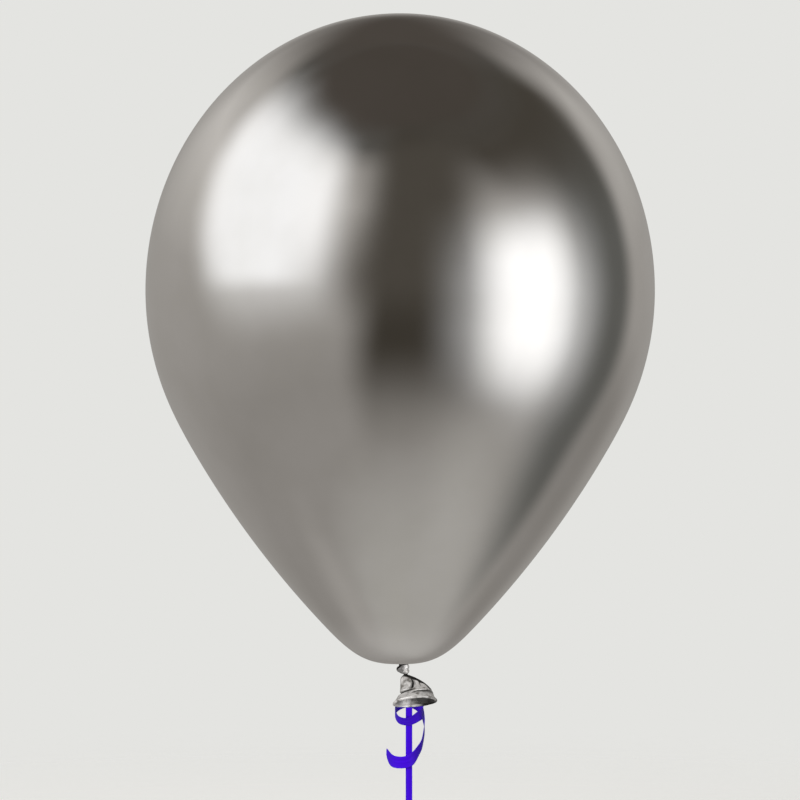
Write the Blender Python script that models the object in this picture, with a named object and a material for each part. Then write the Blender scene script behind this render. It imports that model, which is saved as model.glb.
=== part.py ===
"""A chrome latex party balloon, tied off with its own neck and held by a curling ribbon.

Metres, +Z up. The origin is the centre of the balloon's widest circle. The front, where the
mouth of the neck tips forward, is the -Y side, and the ribbon hangs behind the neck.
"""

import math

import bmesh
import bpy
from mathutils import Matrix, Vector

MM = 0.001

# Touching pieces keep this gap.
GAP = 0.3 * MM

# The envelope: a crown that is half an ellipse, then arcs that follow on from each other down to
# the dimple round the throat. A balloon sold as 33 cm is blown up to 30 cm here.
EQUATOR_RADIUS = 150.0 * MM
CROWN_HEIGHT = 163.0 * MM
WALL = 0.5 * MM
ENVELOPE_SIDES = 48
CROWN_STEPS = 14

# Columns: radius, turn in degrees, steps. A radius below zero bends the other way.
LOWER_ARCS = (
    (165.9 * MM, 28.56, 5),
    (559.5 * MM, 16.68, 3),
    (36.0 * MM, 44.76, 7),
    (2.2 * MM, 90.0, 4),
    (-1.3 * MM, 180.0, 6),
)
THROAT_LENGTH = 2.6 * MM

# The knot under the throat: a squashed ball with the roll of the twisted neck round it.
KNOT_X = 1.6 * MM
KNOT_HALF_WIDTH = 3.8 * MM
KNOT_HEIGHT = 6.3 * MM
KNOT_ROLL_DEPTH = 0.09
KNOT_ROLLS = 2
KNOT_SIDES = 24
KNOT_RINGS = 14

# The loose end of the neck below the knot. It flares to its mouth, leans to the right and tips
# forward, so that its mouth shows from the front.
# Columns: drop below the knot, left edge, right edge, middle's place in depth, half depth,
# pleat depth as a share of the radius, tip forward in degrees.
TAIL_SECTIONS = (
    (0.0, 2.0, 4.9, 0.0, 1.3, 0.00, 0.0),
    (1.8, 0.4, 9.4, -0.5, 3.4, 0.08, 2.0),
    (4.6, 0.2, 14.2, -1.5, 5.8, 0.12, 5.0),
    (7.5, 0.3, 17.4, -2.7, 8.2, 0.12, 8.0),
    (10.0, 0.2, 18.9, -3.9, 10.2, 0.07, 11.0),
    (12.0, -2.0, 19.9, -5.0, 11.7, 0.03, 14.0),
    (13.6, -4.0, 21.3, -6.0, 12.7, 0.00, 17.0),
)
TAIL_ROLL = 4.8
TAIL_PLEATS = 5
TAIL_PLEAT_START = 20.0
TAIL_SIDES = 40
TAIL_WALL = 0.6 * MM

# The rolled bead round the mouth.
LIP_RADIUS = 0.75 * MM
LIP_SIDES = 8

# The ribbon's turn round the throat, in the dimple above the knot, and the tie's own knot.
TIE_RADIUS = 0.75 * MM
TIE_SIDES = 24
TIE_TUBE_SIDES = 8
TIE_KNOT = Vector((2.0, 3.8, -219.7)) * MM
TIE_KNOT_HALF = Vector((1.5, 1.2, 1.2)) * MM

# The ribbon is 7 mm wide. Its pull folds the straight stretch in half lengthwise.
RIBBON_WIDTH = 7.0 * MM
RIBBON_THICKNESS = 0.3 * MM
TETHER_WIDTH = RIBBON_WIDTH / 2
TETHER_THICKNESS = 0.9 * MM
GATHERED_WIDTH = 1.8 * MM
TETHER_X = 5.2 * MM
TETHER_Y = 8.3 * MM
TETHER_END_Z = -305.0 * MM

# The tether's route, from the tie's knot to where it hangs straight. Columns: x, y, z.
TETHER_ROUTE = (
    (2.1, 4.4, -221.2),
    (2.7, 5.7, -224.0),
    (3.2, 6.9, -227.6),
    (4.2, 7.9, -232.4),
    (5.0, 8.25, -238.0),
    (5.2, 8.3, -243.0),
    (5.2, 8.3, -262.0),
    (5.2, 8.3, -284.0),
    (5.2, 8.3, -305.0),
)
# The ribbon is gathered narrow above the first height, and open to its width below the second.
GATHERED_ABOVE = -227.5 * MM
OPEN_BELOW = -236.0 * MM

# The curl's route from the tie's knot out to its first turn. Columns: x, y, z.
CURL_LEAD = (
    (2.4, 5.4, -221.0),
    (2.8, 6.8, -223.3),
    (3.1, 8.3, -226.6),
    (4.6, 9.6, -230.2),
    (7.4, 11.2, -233.6),
    (10.4, 12.0, -237.8),
    (11.8, 11.8, -243.2),
)
# The curl's turns about the tether. Columns: turn in degrees, radius, z, tilt in degrees of the
# turn's axis toward the front.
CURL_TURNS = (
    (-3.0, 8.2, -249.2, 12.0),
    (-45.0, 8.2, -251.4, 20.0),
    (-90.0, 8.2, -254.4, 44.0),
    (-135.0, 8.3, -253.6, 48.0),
    (-180.0, 8.2, -249.6, 40.0),
    (-225.0, 8.5, -246.2, 28.0),
    (-270.0, 9.0, -244.3, 18.0),
    (-315.0, 9.2, -247.6, 15.0),
    (-352.0, 9.2, -255.8, 18.0),
    (-380.0, 8.9, -265.0, 32.0),
    (-408.0, 9.0, -270.8, 28.0),
    (-450.0, 10.4, -277.4, 4.0),
    (-495.0, 12.4, -278.0, 0.0),
    (-534.0, 14.0, -274.0, 0.0),
)
# How many of the lead's points the ribbon lies flat along the tether.
CURL_FLAT_POINTS = 2
CURL_CUT = 9.0 * MM
CURL_TIP_SHARE = 0.12
ROUTE_STEPS = 4

# The knot and the short loop at the ribbon's lower end.
END_KNOT_HALF = Vector((2.6, 1.9, 2.8)) * MM
END_KNOT_ROLLS = 2
END_LOOP_THICKNESS = 0.6 * MM
END_LOOP_HALF_WIDTH = 7.0 * MM
END_LOOP_HEIGHT = 23.0 * MM
END_LOOP_START = 1.3 * MM
END_LOOP_STEPS = 28

LATEX = ("latex_chrome", (0.60, 0.58, 0.55, 1.0), 0.16, 1.0)
RIBBON = ("ribbon_film", (0.052, 0.004, 0.60, 1.0), 0.32, 0.0)


def clear_scene():
    """Remove whatever the new file holds."""
    for old in list(bpy.data.objects):
        bpy.data.objects.remove(old, do_unlink=True)


def material(name, colour, roughness, metallic):
    """A plain Principled material."""
    made = bpy.data.materials.get(name) or bpy.data.materials.new(name)
    made.use_nodes = True
    shader = made.node_tree.nodes["Principled BSDF"]
    shader.inputs["Base Color"].default_value = colour
    shader.inputs["Roughness"].default_value = roughness
    shader.inputs["Metallic"].default_value = metallic
    return made


def finish_piece(name, shape, finish, pivot=None, sharp=None):
    """Turn a bmesh into a named piece. A pivot is the empty on whose axis the piece swings."""
    bmesh.ops.recalc_face_normals(shape, faces=shape.faces)
    mesh = bpy.data.meshes.new(name)
    shape.to_mesh(mesh)
    shape.free()
    mesh.shade_smooth()
    if sharp is not None:
        mesh.set_sharp_from_angle(angle=math.radians(sharp))
    piece = bpy.data.objects.new(name, mesh)
    piece.data.materials.append(material(*finish))
    bpy.context.collection.objects.link(piece)
    if pivot is not None:
        mesh.transform(Matrix.Translation(-pivot.location))
        piece.parent = pivot
    return piece


def bridged(rings, closed=False, caps=True, sheet=False):
    """A surface through rings of points that all have the same count.

    A sheet is a thin strip of four sides. Its two faces are split along the same diagonals, so
    that they stay apart where it twists.
    """
    shape = bmesh.new()
    rows = [[shape.verts.new(point) for point in ring] for ring in rings]
    sides = len(rings[0])
    pairs = list(zip(rows, rows[1:] + rows[:1])) if closed else list(zip(rows, rows[1:]))
    for low, high in pairs:
        for side in range(sides):
            after = (side + 1) % sides
            corners = (low[side], low[after], high[after], high[side])
            if sheet and side < 2:
                shape.faces.new(corners[:3])
                shape.faces.new((corners[2], corners[3], corners[0]))
            elif sheet:
                shape.faces.new((corners[0], corners[1], corners[3]))
                shape.faces.new((corners[1], corners[2], corners[3]))
            else:
                shape.faces.new(corners)
    if caps and not closed:
        shape.faces.new(rows[0])
        shape.faces.new(rows[-1])
    return shape


def catmull(points, steps):
    """A smooth curve through the points, as a list with the given steps to each span."""
    padded = [points[0] * 2 - points[1], *points, points[-1] * 2 - points[-2]]
    made = []
    for a, b, c, d in zip(padded, padded[1:], padded[2:], padded[3:]):
        for step in range(steps):
            t = step / steps
            made.append(
                0.5 * (2 * b + (c - a) * t + (2 * a - 5 * b + 4 * c - d) * t**2
                       + (3 * b - a - 3 * c + d) * t**3)
            )
    made.append(points[-1].copy())
    return made


def tangents(points):
    """The unit direction of a route at each of its points."""
    ends = [points[0], *points, points[-1]]
    return [(after - before).normalized() for before, after in zip(ends, ends[2:])]


def envelope_profile(inset):
    """The outline from the crown down to the throat's end, as (radius, z), inset by a wall."""
    outline = []
    for step in range(CROWN_STEPS):
        angle = math.pi / 2 * (1 - step / CROWN_STEPS)
        radius = (EQUATOR_RADIUS - inset) * math.cos(angle)
        outline.append((0.0 if step == 0 else radius, (CROWN_HEIGHT - inset) * math.sin(angle)))
    radius, z = EQUATOR_RADIUS - inset, 0.0
    outline.append((radius, z))
    turned = 0.0
    for bend, degrees, steps in LOWER_ARCS:
        side = 1.0 if bend > 0 else -1.0
        reach = bend - inset
        centre = (radius - reach * math.cos(turned), z + reach * math.sin(turned))
        for step in range(1, steps + 1):
            angle = turned + side * math.radians(degrees) * step / steps
            outline.append(
                (centre[0] + reach * math.cos(angle), centre[1] - reach * math.sin(angle))
            )
        turned += side * math.radians(degrees)
        radius, z = outline[-1]
    outline.append((radius, z - THROAT_LENGTH))
    return outline


def envelope_bottom():
    """The height of the envelope's lowest ring, and of the end of its throat."""
    outline = envelope_profile(0.0)
    before_dimple = 1 + CROWN_STEPS + sum(steps for _, _, steps in LOWER_ARCS[:3])
    return outline[before_dimple - 1][1], outline[-1][1]


def make_envelope():
    """The blown-up wall: a thin skin round the gas, open only at the gathered throat."""
    outline = envelope_profile(0.0) + envelope_profile(WALL)[::-1]
    shape = bmesh.new()
    row = [shape.verts.new((radius, 0.0, z)) for radius, z in outline]
    edges = [shape.edges.new(pair) for pair in zip(row, row[1:])]
    bmesh.ops.spin(
        shape, geom=row + edges, cent=(0, 0, 0), axis=(0, 0, 1), angle=math.tau,
        steps=ENVELOPE_SIDES, use_merge=True,
    )
    bmesh.ops.remove_doubles(shape, verts=shape.verts, dist=0.001 * MM)
    return finish_piece("envelope", shape, LATEX)


def rolled_ball(centre, half, rolls, depth, sides, rings, flat_top=None):
    """A squashed ball with spiral rolls round it, such as a pulled-up knot."""
    shape = bmesh.new()
    bmesh.ops.create_uvsphere(shape, u_segments=sides, v_segments=rings, radius=1.0)
    for vert in shape.verts:
        way = vert.co.normalized()
        level = math.hypot(way.x, way.y)
        spiral = rolls * math.atan2(way.y, way.x) + math.pi * way.z
        size = 1.0 + depth * level**2 * (math.cos(spiral) - 1.0)
        vert.co = centre + Vector((way.x * half.x, way.y * half.y, way.z * half.z)) * size
        if flat_top is not None:
            vert.co.z = min(vert.co.z, flat_top)
    return shape


def make_neck_knot(throat_end):
    """The knot in the neck, its top flattened against the throat."""
    half = Vector((KNOT_HALF_WIDTH, KNOT_HALF_WIDTH, KNOT_HEIGHT / 2))
    top = throat_end - GAP
    centre = Vector((KNOT_X, 0.0, top + 0.1 * MM - half.z))
    shape = rolled_ball(centre, half, KNOT_ROLLS, KNOT_ROLL_DEPTH, KNOT_SIDES, KNOT_RINGS, top)
    return finish_piece("neck_knot", shape, LATEX), centre.z - half.z


def tail_ring(section, top, inset):
    """One ring of the neck's loose end, inset by its wall."""
    drop, left, right, middle, half_depth, pleat, tip = section
    centre = Vector(((left + right) / 2 * MM, middle * MM, top - drop * MM))
    across = Matrix.Rotation(math.radians(-TAIL_ROLL * tip / TAIL_SECTIONS[-1][6]), 3, "Y")
    tipped = across @ Matrix.Rotation(math.radians(-tip), 3, "X")
    ring = []
    for side in range(TAIL_SIDES):
        angle = math.tau * side / TAIL_SIDES
        fold = 1.0 - pleat * (1 - math.cos(TAIL_PLEATS * angle + math.radians(TAIL_PLEAT_START))) / 2
        width = (right - left) / 2 * MM * fold - inset
        depth = half_depth * MM * fold - inset
        ring.append(centre + tipped @ Vector((width * math.cos(angle), depth * math.sin(angle), 0)))
    return ring


def make_neck_tail(top):
    """The pleated loose end of the neck, a thin bell that is open at its mouth."""
    outer = [tail_ring(section, top, 0.0) for section in TAIL_SECTIONS]
    inner = [tail_ring(section, top - TAIL_WALL, TAIL_WALL) for section in TAIL_SECTIONS[1:-1]]
    inner.append(tail_ring(TAIL_SECTIONS[-1], top, TAIL_WALL))
    shape = bridged(outer + inner[::-1])
    return finish_piece("neck_tail", shape, LATEX)


def make_rolled_lip(top):
    """The rolled bead round the mouth."""
    rim = tail_ring(TAIL_SECTIONS[-1], top, TAIL_WALL / 2)
    centre = sum(rim, Vector()) / len(rim)
    normal = (rim[0] - centre).cross(rim[TAIL_SIDES // 4] - centre).normalized()
    below = -normal if normal.z > 0 else normal
    rings = []
    for point in rim:
        middle = point + below * (LIP_RADIUS + GAP)
        out = (point - centre).normalized()
        rings.append(
            [
                middle + LIP_RADIUS * (out * math.cos(angle) + below * math.sin(angle))
                for angle in (math.tau * side / LIP_SIDES for side in range(LIP_SIDES))
            ]
        )
    return finish_piece("rolled_lip", bridged(rings, closed=True), LATEX)


def make_ribbon_tie(bottom):
    """The ribbon's turn round the throat, with the tie's knot behind it."""
    throat = envelope_profile(0.0)[-1][0]
    radius = throat + GAP + TIE_RADIUS
    height = bottom + TIE_RADIUS + GAP
    rings = []
    for side in range(TIE_SIDES):
        angle = math.tau * side / TIE_SIDES
        out = Vector((math.cos(angle), math.sin(angle), 0.0))
        rings.append(
            [
                out * (radius + TIE_RADIUS * math.cos(turn))
                + Vector((0, 0, height + TIE_RADIUS * math.sin(turn)))
                for turn in (math.tau * part / TIE_TUBE_SIDES for part in range(TIE_TUBE_SIDES))
            ]
        )
    tie = finish_piece("ribbon_tie", bridged(rings, closed=True), RIBBON)
    lump_shape = rolled_ball(TIE_KNOT, TIE_KNOT_HALF, 2, 0.06, 16, 10)
    lump = finish_piece("tie_knot_guide", lump_shape, RIBBON)
    lump.hide_render = True
    lump.display_type = "WIRE"
    joined = tie.modifiers.new("tie_knot", "BOOLEAN")
    joined.operation = "UNION"
    joined.object = lump
    return tie


def strip_section(point, along, across, width, thickness):
    """The four corners of a flat ribbon's section."""
    normal = along.cross(across).normalized()
    side = normal.cross(along).normalized()
    return [
        point + side * width / 2 * x + normal * thickness / 2 * y
        for x, y in ((-1, -1), (1, -1), (1, 1), (-1, 1))
    ]


def opened(z, width):
    """The ribbon's width at a height, from gathered at the tie to its full width."""
    share = (GATHERED_ABOVE - z) / (GATHERED_ABOVE - OPEN_BELOW)
    return GATHERED_WIDTH + (width - GATHERED_WIDTH) * min(max(share, 0.0), 1.0)


def make_ribbon_tether(pivot):
    """The straight stretch, gathered at the tie and folded in half below it."""
    route = catmull([Vector(point) * MM for point in TETHER_ROUTE], ROUTE_STEPS)
    ways = tangents(route)
    rings = []
    for point, way in zip(route, ways):
        width = opened(point.z, TETHER_WIDTH)
        rings.append(strip_section(point, way, Vector((1, 0, 0)), width, TETHER_THICKNESS))
    return finish_piece("ribbon_tether", bridged(rings, sheet=True), RIBBON, pivot, sharp=40)


def curl_route():
    """The curl's centre line, and the direction across the ribbon's face at each point.

    Across is to the right where the ribbon leaves the tie, side by side with the tether, and
    along the turn's axis from the first turn on.
    """
    points = [Vector(point) * MM for point in CURL_LEAD]
    first_axis = turn_axis(CURL_TURNS[0][3])
    aims = []
    for number in range(len(points)):
        share = max(number - CURL_FLAT_POINTS, 0) / (len(points) - CURL_FLAT_POINTS)
        aims.append(Vector((1, 0, 0)).lerp(first_axis, share))
    for turn, radius, z, tilt in CURL_TURNS:
        angle = math.radians(turn)
        points.append(
            Vector((TETHER_X + radius * MM * math.cos(angle),
                    TETHER_Y + radius * MM * math.sin(angle), z * MM))
        )
        aims.append(turn_axis(tilt))
    route = catmull(points, ROUTE_STEPS)
    ways = tangents(route)
    sides = [
        (aim - way * aim.dot(way)).normalized()
        for aim, way in zip(catmull(aims, ROUTE_STEPS), ways)
    ]
    return route, ways, sides


def turn_axis(tilt):
    """The axis of a turn, tilted from upright toward the front by an angle in degrees."""
    lean = math.radians(tilt)
    return Vector((0.0, -math.sin(lean), math.cos(lean)))


def make_ribbon_curl(pivot):
    """The free end, curled round the tether with its face outward, and cut at a slant."""
    route, ways, sides = curl_route()
    lengths = [0.0]
    for before, after in zip(route, route[1:]):
        lengths.append(lengths[-1] + (after - before).length)
    rings = []
    for point, way, across, length in zip(route, ways, sides, lengths):
        left = lengths[-1] - length
        share = min(CURL_TIP_SHARE + (1 - CURL_TIP_SHARE) * left / CURL_CUT, 1.0)
        wide = opened(point.z, RIBBON_WIDTH)
        middle = point + across * wide * (1 - share) / 2
        rings.append(strip_section(middle, way, across, wide * share, RIBBON_THICKNESS))
    return finish_piece("ribbon_curl", bridged(rings, sheet=True), RIBBON, pivot, sharp=40)


def make_end_knot(pivot):
    """The knot at the tether's lower end."""
    centre = Vector((TETHER_X, TETHER_Y, TETHER_END_Z - GAP - END_KNOT_HALF.z))
    shape = rolled_ball(centre, END_KNOT_HALF, END_KNOT_ROLLS, 0.08, 20, 12)
    return finish_piece("ribbon_end_knot", shape, RIBBON, pivot), centre.z - END_KNOT_HALF.z


def make_end_loop(pivot, top):
    """The short loop under the end knot, a long drop whose two ends meet the knot."""
    rings = []
    route = []
    for step in range(END_LOOP_STEPS + 1):
        share = step / END_LOOP_STEPS
        angle = math.tau * share
        swell = math.sin(angle / 2) ** 1.5
        x = -END_LOOP_START * math.cos(angle / 2) - END_LOOP_HALF_WIDTH * math.sin(angle) * swell
        z = top - GAP - END_LOOP_HEIGHT * (1 - math.cos(angle)) / 2
        route.append(Vector((TETHER_X + x, TETHER_Y, z)))
    for point, way in zip(route, tangents(route)):
        rings.append(
            strip_section(point, way, Vector((0, 1, 0)), TETHER_WIDTH, END_LOOP_THICKNESS)
        )
    return finish_piece("ribbon_end_loop", bridged(rings, sheet=True), RIBBON, pivot, sharp=40)


def main():
    """Build the balloon from the crown down."""
    clear_scene()
    bottom, throat_end = envelope_bottom()
    make_envelope()
    _, knot_bottom = make_neck_knot(throat_end)
    tail_top = knot_bottom - GAP
    make_neck_tail(tail_top)
    make_rolled_lip(tail_top)
    make_ribbon_tie(bottom)

    swing = bpy.data.objects.new("ribbon_swing_axis", None)
    swing.location = TIE_KNOT
    bpy.context.collection.objects.link(swing)
    make_ribbon_tether(swing)
    make_ribbon_curl(swing)
    _, end_knot_bottom = make_end_knot(swing)
    make_end_loop(swing, end_knot_bottom)


main()
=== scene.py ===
"""Looks for a chrome latex party balloon, tied off with its neck and held by a curling ribbon.

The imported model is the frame: metres, +Z up, and the camera on the -Y side. Each visible piece
takes its place and size from the frame's nodes, and each one replaces its plain solid.
"""

import logging
import math
from bisect import bisect_right
from dataclasses import dataclass
from enum import Enum
from typing import Any, ClassVar, Sequence

import bmesh
import bpy
from mathutils import Matrix, Vector, kdtree, noise

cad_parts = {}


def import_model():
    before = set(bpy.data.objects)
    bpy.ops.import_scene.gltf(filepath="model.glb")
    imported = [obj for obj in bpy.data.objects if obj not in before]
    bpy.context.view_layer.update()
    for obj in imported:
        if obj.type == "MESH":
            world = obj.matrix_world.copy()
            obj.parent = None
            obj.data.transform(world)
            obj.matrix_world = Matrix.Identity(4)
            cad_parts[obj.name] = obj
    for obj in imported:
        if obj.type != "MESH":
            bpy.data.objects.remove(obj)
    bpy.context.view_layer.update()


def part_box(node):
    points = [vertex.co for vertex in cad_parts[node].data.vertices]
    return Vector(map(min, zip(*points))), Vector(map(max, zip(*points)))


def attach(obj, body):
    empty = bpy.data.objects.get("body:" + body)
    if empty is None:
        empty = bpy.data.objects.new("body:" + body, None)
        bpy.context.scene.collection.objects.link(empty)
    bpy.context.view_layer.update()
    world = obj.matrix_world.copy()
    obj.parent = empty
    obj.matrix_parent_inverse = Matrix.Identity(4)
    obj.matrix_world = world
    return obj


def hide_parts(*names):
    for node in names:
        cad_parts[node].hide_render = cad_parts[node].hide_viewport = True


# Two measures, three of them, and pairs along a line. A signal is a node's output, or a node
# that stands for its first one.
Pair = tuple[float, float]
Triple = tuple[float, float, float]
Line = Sequence[Pair]
Tree = bpy.types.NodeTree
Signal = bpy.types.Node | bpy.types.NodeSocket
Piece = bpy.types.Object

LOG = logging.getLogger("balloon")

MM = 0.001

# The sockets of a colour mix: its share, its two colours and what comes out.
SHARE, FROM, TO, MIXED = 0, 6, 7, 2


class Body(Enum):
    """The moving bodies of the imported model."""

    BALLOON = "balloon"
    RIBBON = "ribbon"


class Slot(Enum):
    """The record's material slots."""

    LATEX = "latex_chrome"
    FILM = "ribbon_film"


# Shared helpers


def linear(colour: str) -> tuple[float, ...]:
    """Turn an sRGB hex colour into linear red, green and blue, and a full alpha.

    Args:
        colour: a sign and six hex digits.

    Returns:
        The four values of a colour socket.
    """
    parts = [int(colour[at : at + 2], 16) / 255 for at in (1, 3, 5)]
    made = [p / 12.92 if p <= 0.04045 else ((p + 0.055) / 1.055) ** 2.4 for p in parts]
    return (*made, 1.0)


def set_inputs(node: bpy.types.Node, inputs: dict[Any, Any]) -> None:
    """Set or link a node's inputs.

    Args:
        node: the node.
        inputs: for each input, by name or number, a value to set, an output socket to link, or
            a node to link by its first output.
    """
    for key, value in inputs.items():
        if isinstance(value, bpy.types.Node):
            value = value.outputs[0]
        if isinstance(value, bpy.types.NodeSocket):
            node.id_data.links.new(value, node.inputs[key])
        else:
            node.inputs[key].default_value = value


def add_node(
    tree: Tree, kind: str, inputs: dict[Any, Any] | None = None, **settings: Any
) -> bpy.types.Node:
    """Add a shader node with its settings, values and links.

    Args:
        tree: the node tree that gets the node.
        kind: Blender's type name of the node.
        inputs: what set_inputs takes.
        settings: the node's own properties.

    Returns:
        The new node.
    """
    node = tree.nodes.new(kind)
    for name, value in settings.items():
        setattr(node, name, value)
    set_inputs(node, inputs or {})
    return node


def start_material(name: str, sockets: dict[str, Any]) -> tuple[bpy.types.Material, bpy.types.Node]:
    """Make a material with what is the same all over it.

    Args:
        name: the material's name.
        sockets: the shader's values by socket name.

    Returns:
        The material and its shader.
    """
    made = bpy.data.materials.new(name)
    made.use_nodes = True
    shader = made.node_tree.nodes["Principled BSDF"]
    set_inputs(shader, sockets)
    return made, shader


def turn_angles(count: int) -> list[float]:
    """Give the angles of a full turn that is cut into equal parts."""
    return [math.tau * part / count for part in range(count)]


def smooth(value: float, low: float, high: float) -> float:
    """A soft step from 0 at low to 1 at high."""
    share = min(max((value - low) / (high - low), 0.0), 1.0)
    return share * share * (3 - 2 * share)


def window(value: float, edges: Sequence[float]) -> float:
    """A soft window: it rises from the first edge to the second, and falls from the third on."""
    start, full, fading, end = edges
    return smooth(value, start, full) * (1.0 - smooth(value, fading, end))


def read_line(line: Line, at: float) -> float:
    """Read a line that is held at both ends.

    Args:
        line: pairs of place and value.
        at: the place to read.

    Returns:
        The value there.
    """
    after = bisect_right(line, at, key=lambda pair: pair[0])
    if after in (0, len(line)):
        return line[min(after, len(line) - 1)][1]
    (start, low), (end, high) = line[after - 1 : after + 1]
    return low + (high - low) * ((at - start) / (end - start))


def bell(apart: float, width: float) -> float:
    """A bell curve: 1 at its middle, and nearly 0 twice its width away."""
    return math.exp(-((apart / width) ** 2))


def half_turn(degrees: float) -> float:
    """Bring an angle to between -180 and 180 degrees."""
    return (degrees + 180.0) % 360.0 - 180.0


def catmull_at(points: Sequence[Vector], at: float) -> Vector:
    """Read a smooth curve through points.

    Args:
        points: what the curve passes through.
        at: the place on it: 0 is the first point, 1 the second.

    Returns:
        The curve's place.
    """
    padded = [points[0] * 2 - points[1], *points, points[-1] * 2 - points[-2]]
    first = min(int(at), len(points) - 2)
    a, b, c, d = padded[first : first + 4]
    t = at - first
    turned = (2 * a - 5 * b + 4 * c - d) * t**2 + (3 * b - a - 3 * c + d) * t**3
    return 0.5 * (2 * b + (c - a) * t + turned)


def catmull(points: Sequence[Vector], steps: int) -> list[Vector]:
    """Run a smooth curve through points.

    Args:
        points: the points that the curve passes through.
        steps: how many pieces each span is cut into.

    Returns:
        The curve's points.
    """
    return [catmull_at(points, step / steps) for step in range((len(points) - 1) * steps + 1)]


def tangents(points: Sequence[Vector]) -> list[Vector]:
    """Give the unit direction of a route at each of its points."""
    ends = [points[0], *points, points[-1]]
    return [(after - before).normalized() for before, after in zip(ends, ends[2:])]


def run_lengths(points: Sequence[Vector]) -> list[float]:
    """Measure a route.

    Args:
        points: the route.

    Returns:
        The length run at each point, from the first one.
    """
    lengths = [0.0]
    for before, after in zip(points, points[1:]):
        lengths.append(lengths[-1] + (after - before).length)
    return lengths


def grid_mesh(
    name: str,
    rows: Sequence[Sequence[Vector]],
    closed: bool = False,
    caps: bool = False,
) -> Piece:
    """Make a smooth mesh through rings of points, with a UV map round and along it.

    Args:
        name: the object's name.
        rows: rings of points with the same count.
        closed: join the last ring to the first.
        caps: close both ends with one face each.

    Returns:
        The new object, linked to the scene.
    """
    shape = bmesh.new()
    grid = [[shape.verts.new(point) for point in row] for row in rows]
    layer = shape.loops.layers.uv.new("Strip")
    spans = len(rows[0])
    for low in range(len(grid) if closed else len(grid) - 1):
        high = (low + 1) % len(grid)
        for side in range(spans):
            after = (side + 1) % spans
            face = shape.faces.new(
                (grid[low][side], grid[low][after], grid[high][after], grid[high][side])
            )
            places = ((side, low), (side + 1, low), (side + 1, low + 1), (side, low + 1))
            for loop, (u, v) in zip(face.loops, places):
                loop[layer].uv = (u / spans, v / (len(grid) - 1))
    if caps:
        shape.faces.new(grid[0])
        shape.faces.new(grid[-1])
    bmesh.ops.recalc_face_normals(shape, faces=shape.faces)
    mesh = bpy.data.meshes.new(name)
    shape.to_mesh(mesh)
    shape.free()
    mesh.shade_smooth()
    piece = bpy.data.objects.new(name, mesh)
    bpy.context.collection.objects.link(piece)
    return piece


def tube(
    name: str, route: Sequence[Vector], radii: Sequence[float], sides: int, closed: bool = False
) -> Piece:
    """Make a round tube along a route.

    Args:
        name: the object's name.
        route: the middle line.
        radii: the radius at each of its points.
        sides: how many sides the tube has.
        closed: join its last ring to its first.

    Returns:
        The new object.
    """
    ways = tangents(route)
    side = ways[0].orthogonal().normalized()
    angles = turn_angles(sides)
    rows = []
    for middle, way, radius in zip(route, ways, radii):
        side = (side - way * side.dot(way)).normalized()
        up = way.cross(side)
        rows.append([middle + radius * (side * math.cos(t) + up * math.sin(t)) for t in angles])
    return grid_mesh(name, rows, closed=closed, caps=not closed)


def join(pieces: Sequence[Piece]) -> Piece:
    """Put several pieces into one mesh.

    Args:
        pieces: the pieces; the first one takes in the others.

    Returns:
        The first piece.
    """
    shape = bmesh.new()
    for piece in pieces:
        shape.from_mesh(piece.data)
    shape.to_mesh(pieces[0].data)
    shape.free()
    for piece in pieces[1:]:
        bpy.data.objects.remove(piece)
    return pieces[0]


def fuse(pieces: Sequence[Piece], voxel: float, smoothing: float, rounds: int) -> Piece:
    """Melt pieces that run into each other into one skin.

    Args:
        pieces: closed pieces; the first one takes in the others.
        voxel: the size of the skin's faces.
        smoothing: how strongly each round smooths it.
        rounds: how many rounds of smoothing it gets.

    Returns:
        The first piece, with the joined skin.
    """
    whole = join(pieces)
    fused = whole.modifiers.new("fused", "REMESH")
    fused.mode = "VOXEL"
    fused.voxel_size = voxel
    eased = whole.modifiers.new("eased", "SMOOTH")
    eased.factor = smoothing
    eased.iterations = rounds
    graph = bpy.context.evaluated_depsgraph_get()
    skin = bpy.data.meshes.new_from_object(whole.evaluated_get(graph))
    whole.modifiers.clear()
    whole.data = skin
    skin.shade_smooth()
    return whole


def shade_points(piece: Piece, painted_shades: Sequence[float]) -> None:
    """Store a piece's painted shade at each of its points.

    Args:
        piece: the piece.
        painted_shades: for each point, 0 on open film to 1.
    """
    layer = piece.data.attributes.new("painted_shade_amount", "FLOAT", "POINT")
    for value, depth in zip(layer.data, painted_shades):
        value.value = depth


def fit_to(piece: Piece, low: Vector, high: Vector) -> None:
    """Stretch a piece's mesh so that it fills a box exactly.

    Args:
        piece: the piece.
        low: the box's lowest corner.
        high: its highest corner.
    """
    places = [vert.co for vert in piece.data.vertices]
    least = Vector(min(p[axis] for p in places) for axis in range(3))
    most = Vector(max(p[axis] for p in places) for axis in range(3))
    for vert in piece.data.vertices:
        for axis in range(3):
            share = (vert.co[axis] - least[axis]) / (most[axis] - least[axis])
            vert.co[axis] = low[axis] + (high[axis] - low[axis]) * share


@dataclass
class SubAssembly:
    """What every sub-assembly has: its finish, its body and its slot in the record."""

    finish: bpy.types.Material
    body: ClassVar[Body] = Body.BALLOON
    slot: ClassVar[Slot] = Slot.LATEX

    def dress(self, piece: Piece, node: str, mirrored: bool = False) -> Piece:
        """Give a piece its finish and its body, and hide the plain solid that it stands for.

        Args:
            piece: the finished mesh.
            node: the plain solid that it replaces.
            mirrored: show it in the chrome's reflections. The small pieces under the balloon
                are kept out of them, since the photograph shows its underside plain.

        Returns:
            The same piece.
        """
        piece.data.materials.clear()
        piece.data.materials.append(self.finish)
        piece.visible_glossy = mirrored
        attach(piece, self.body.value)
        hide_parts(node)
        faces = len(piece.data.polygons)
        LOG.info("%s: %d faces, on %s", piece.name, faces, self.body.value)
        return piece


# Finishes


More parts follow.
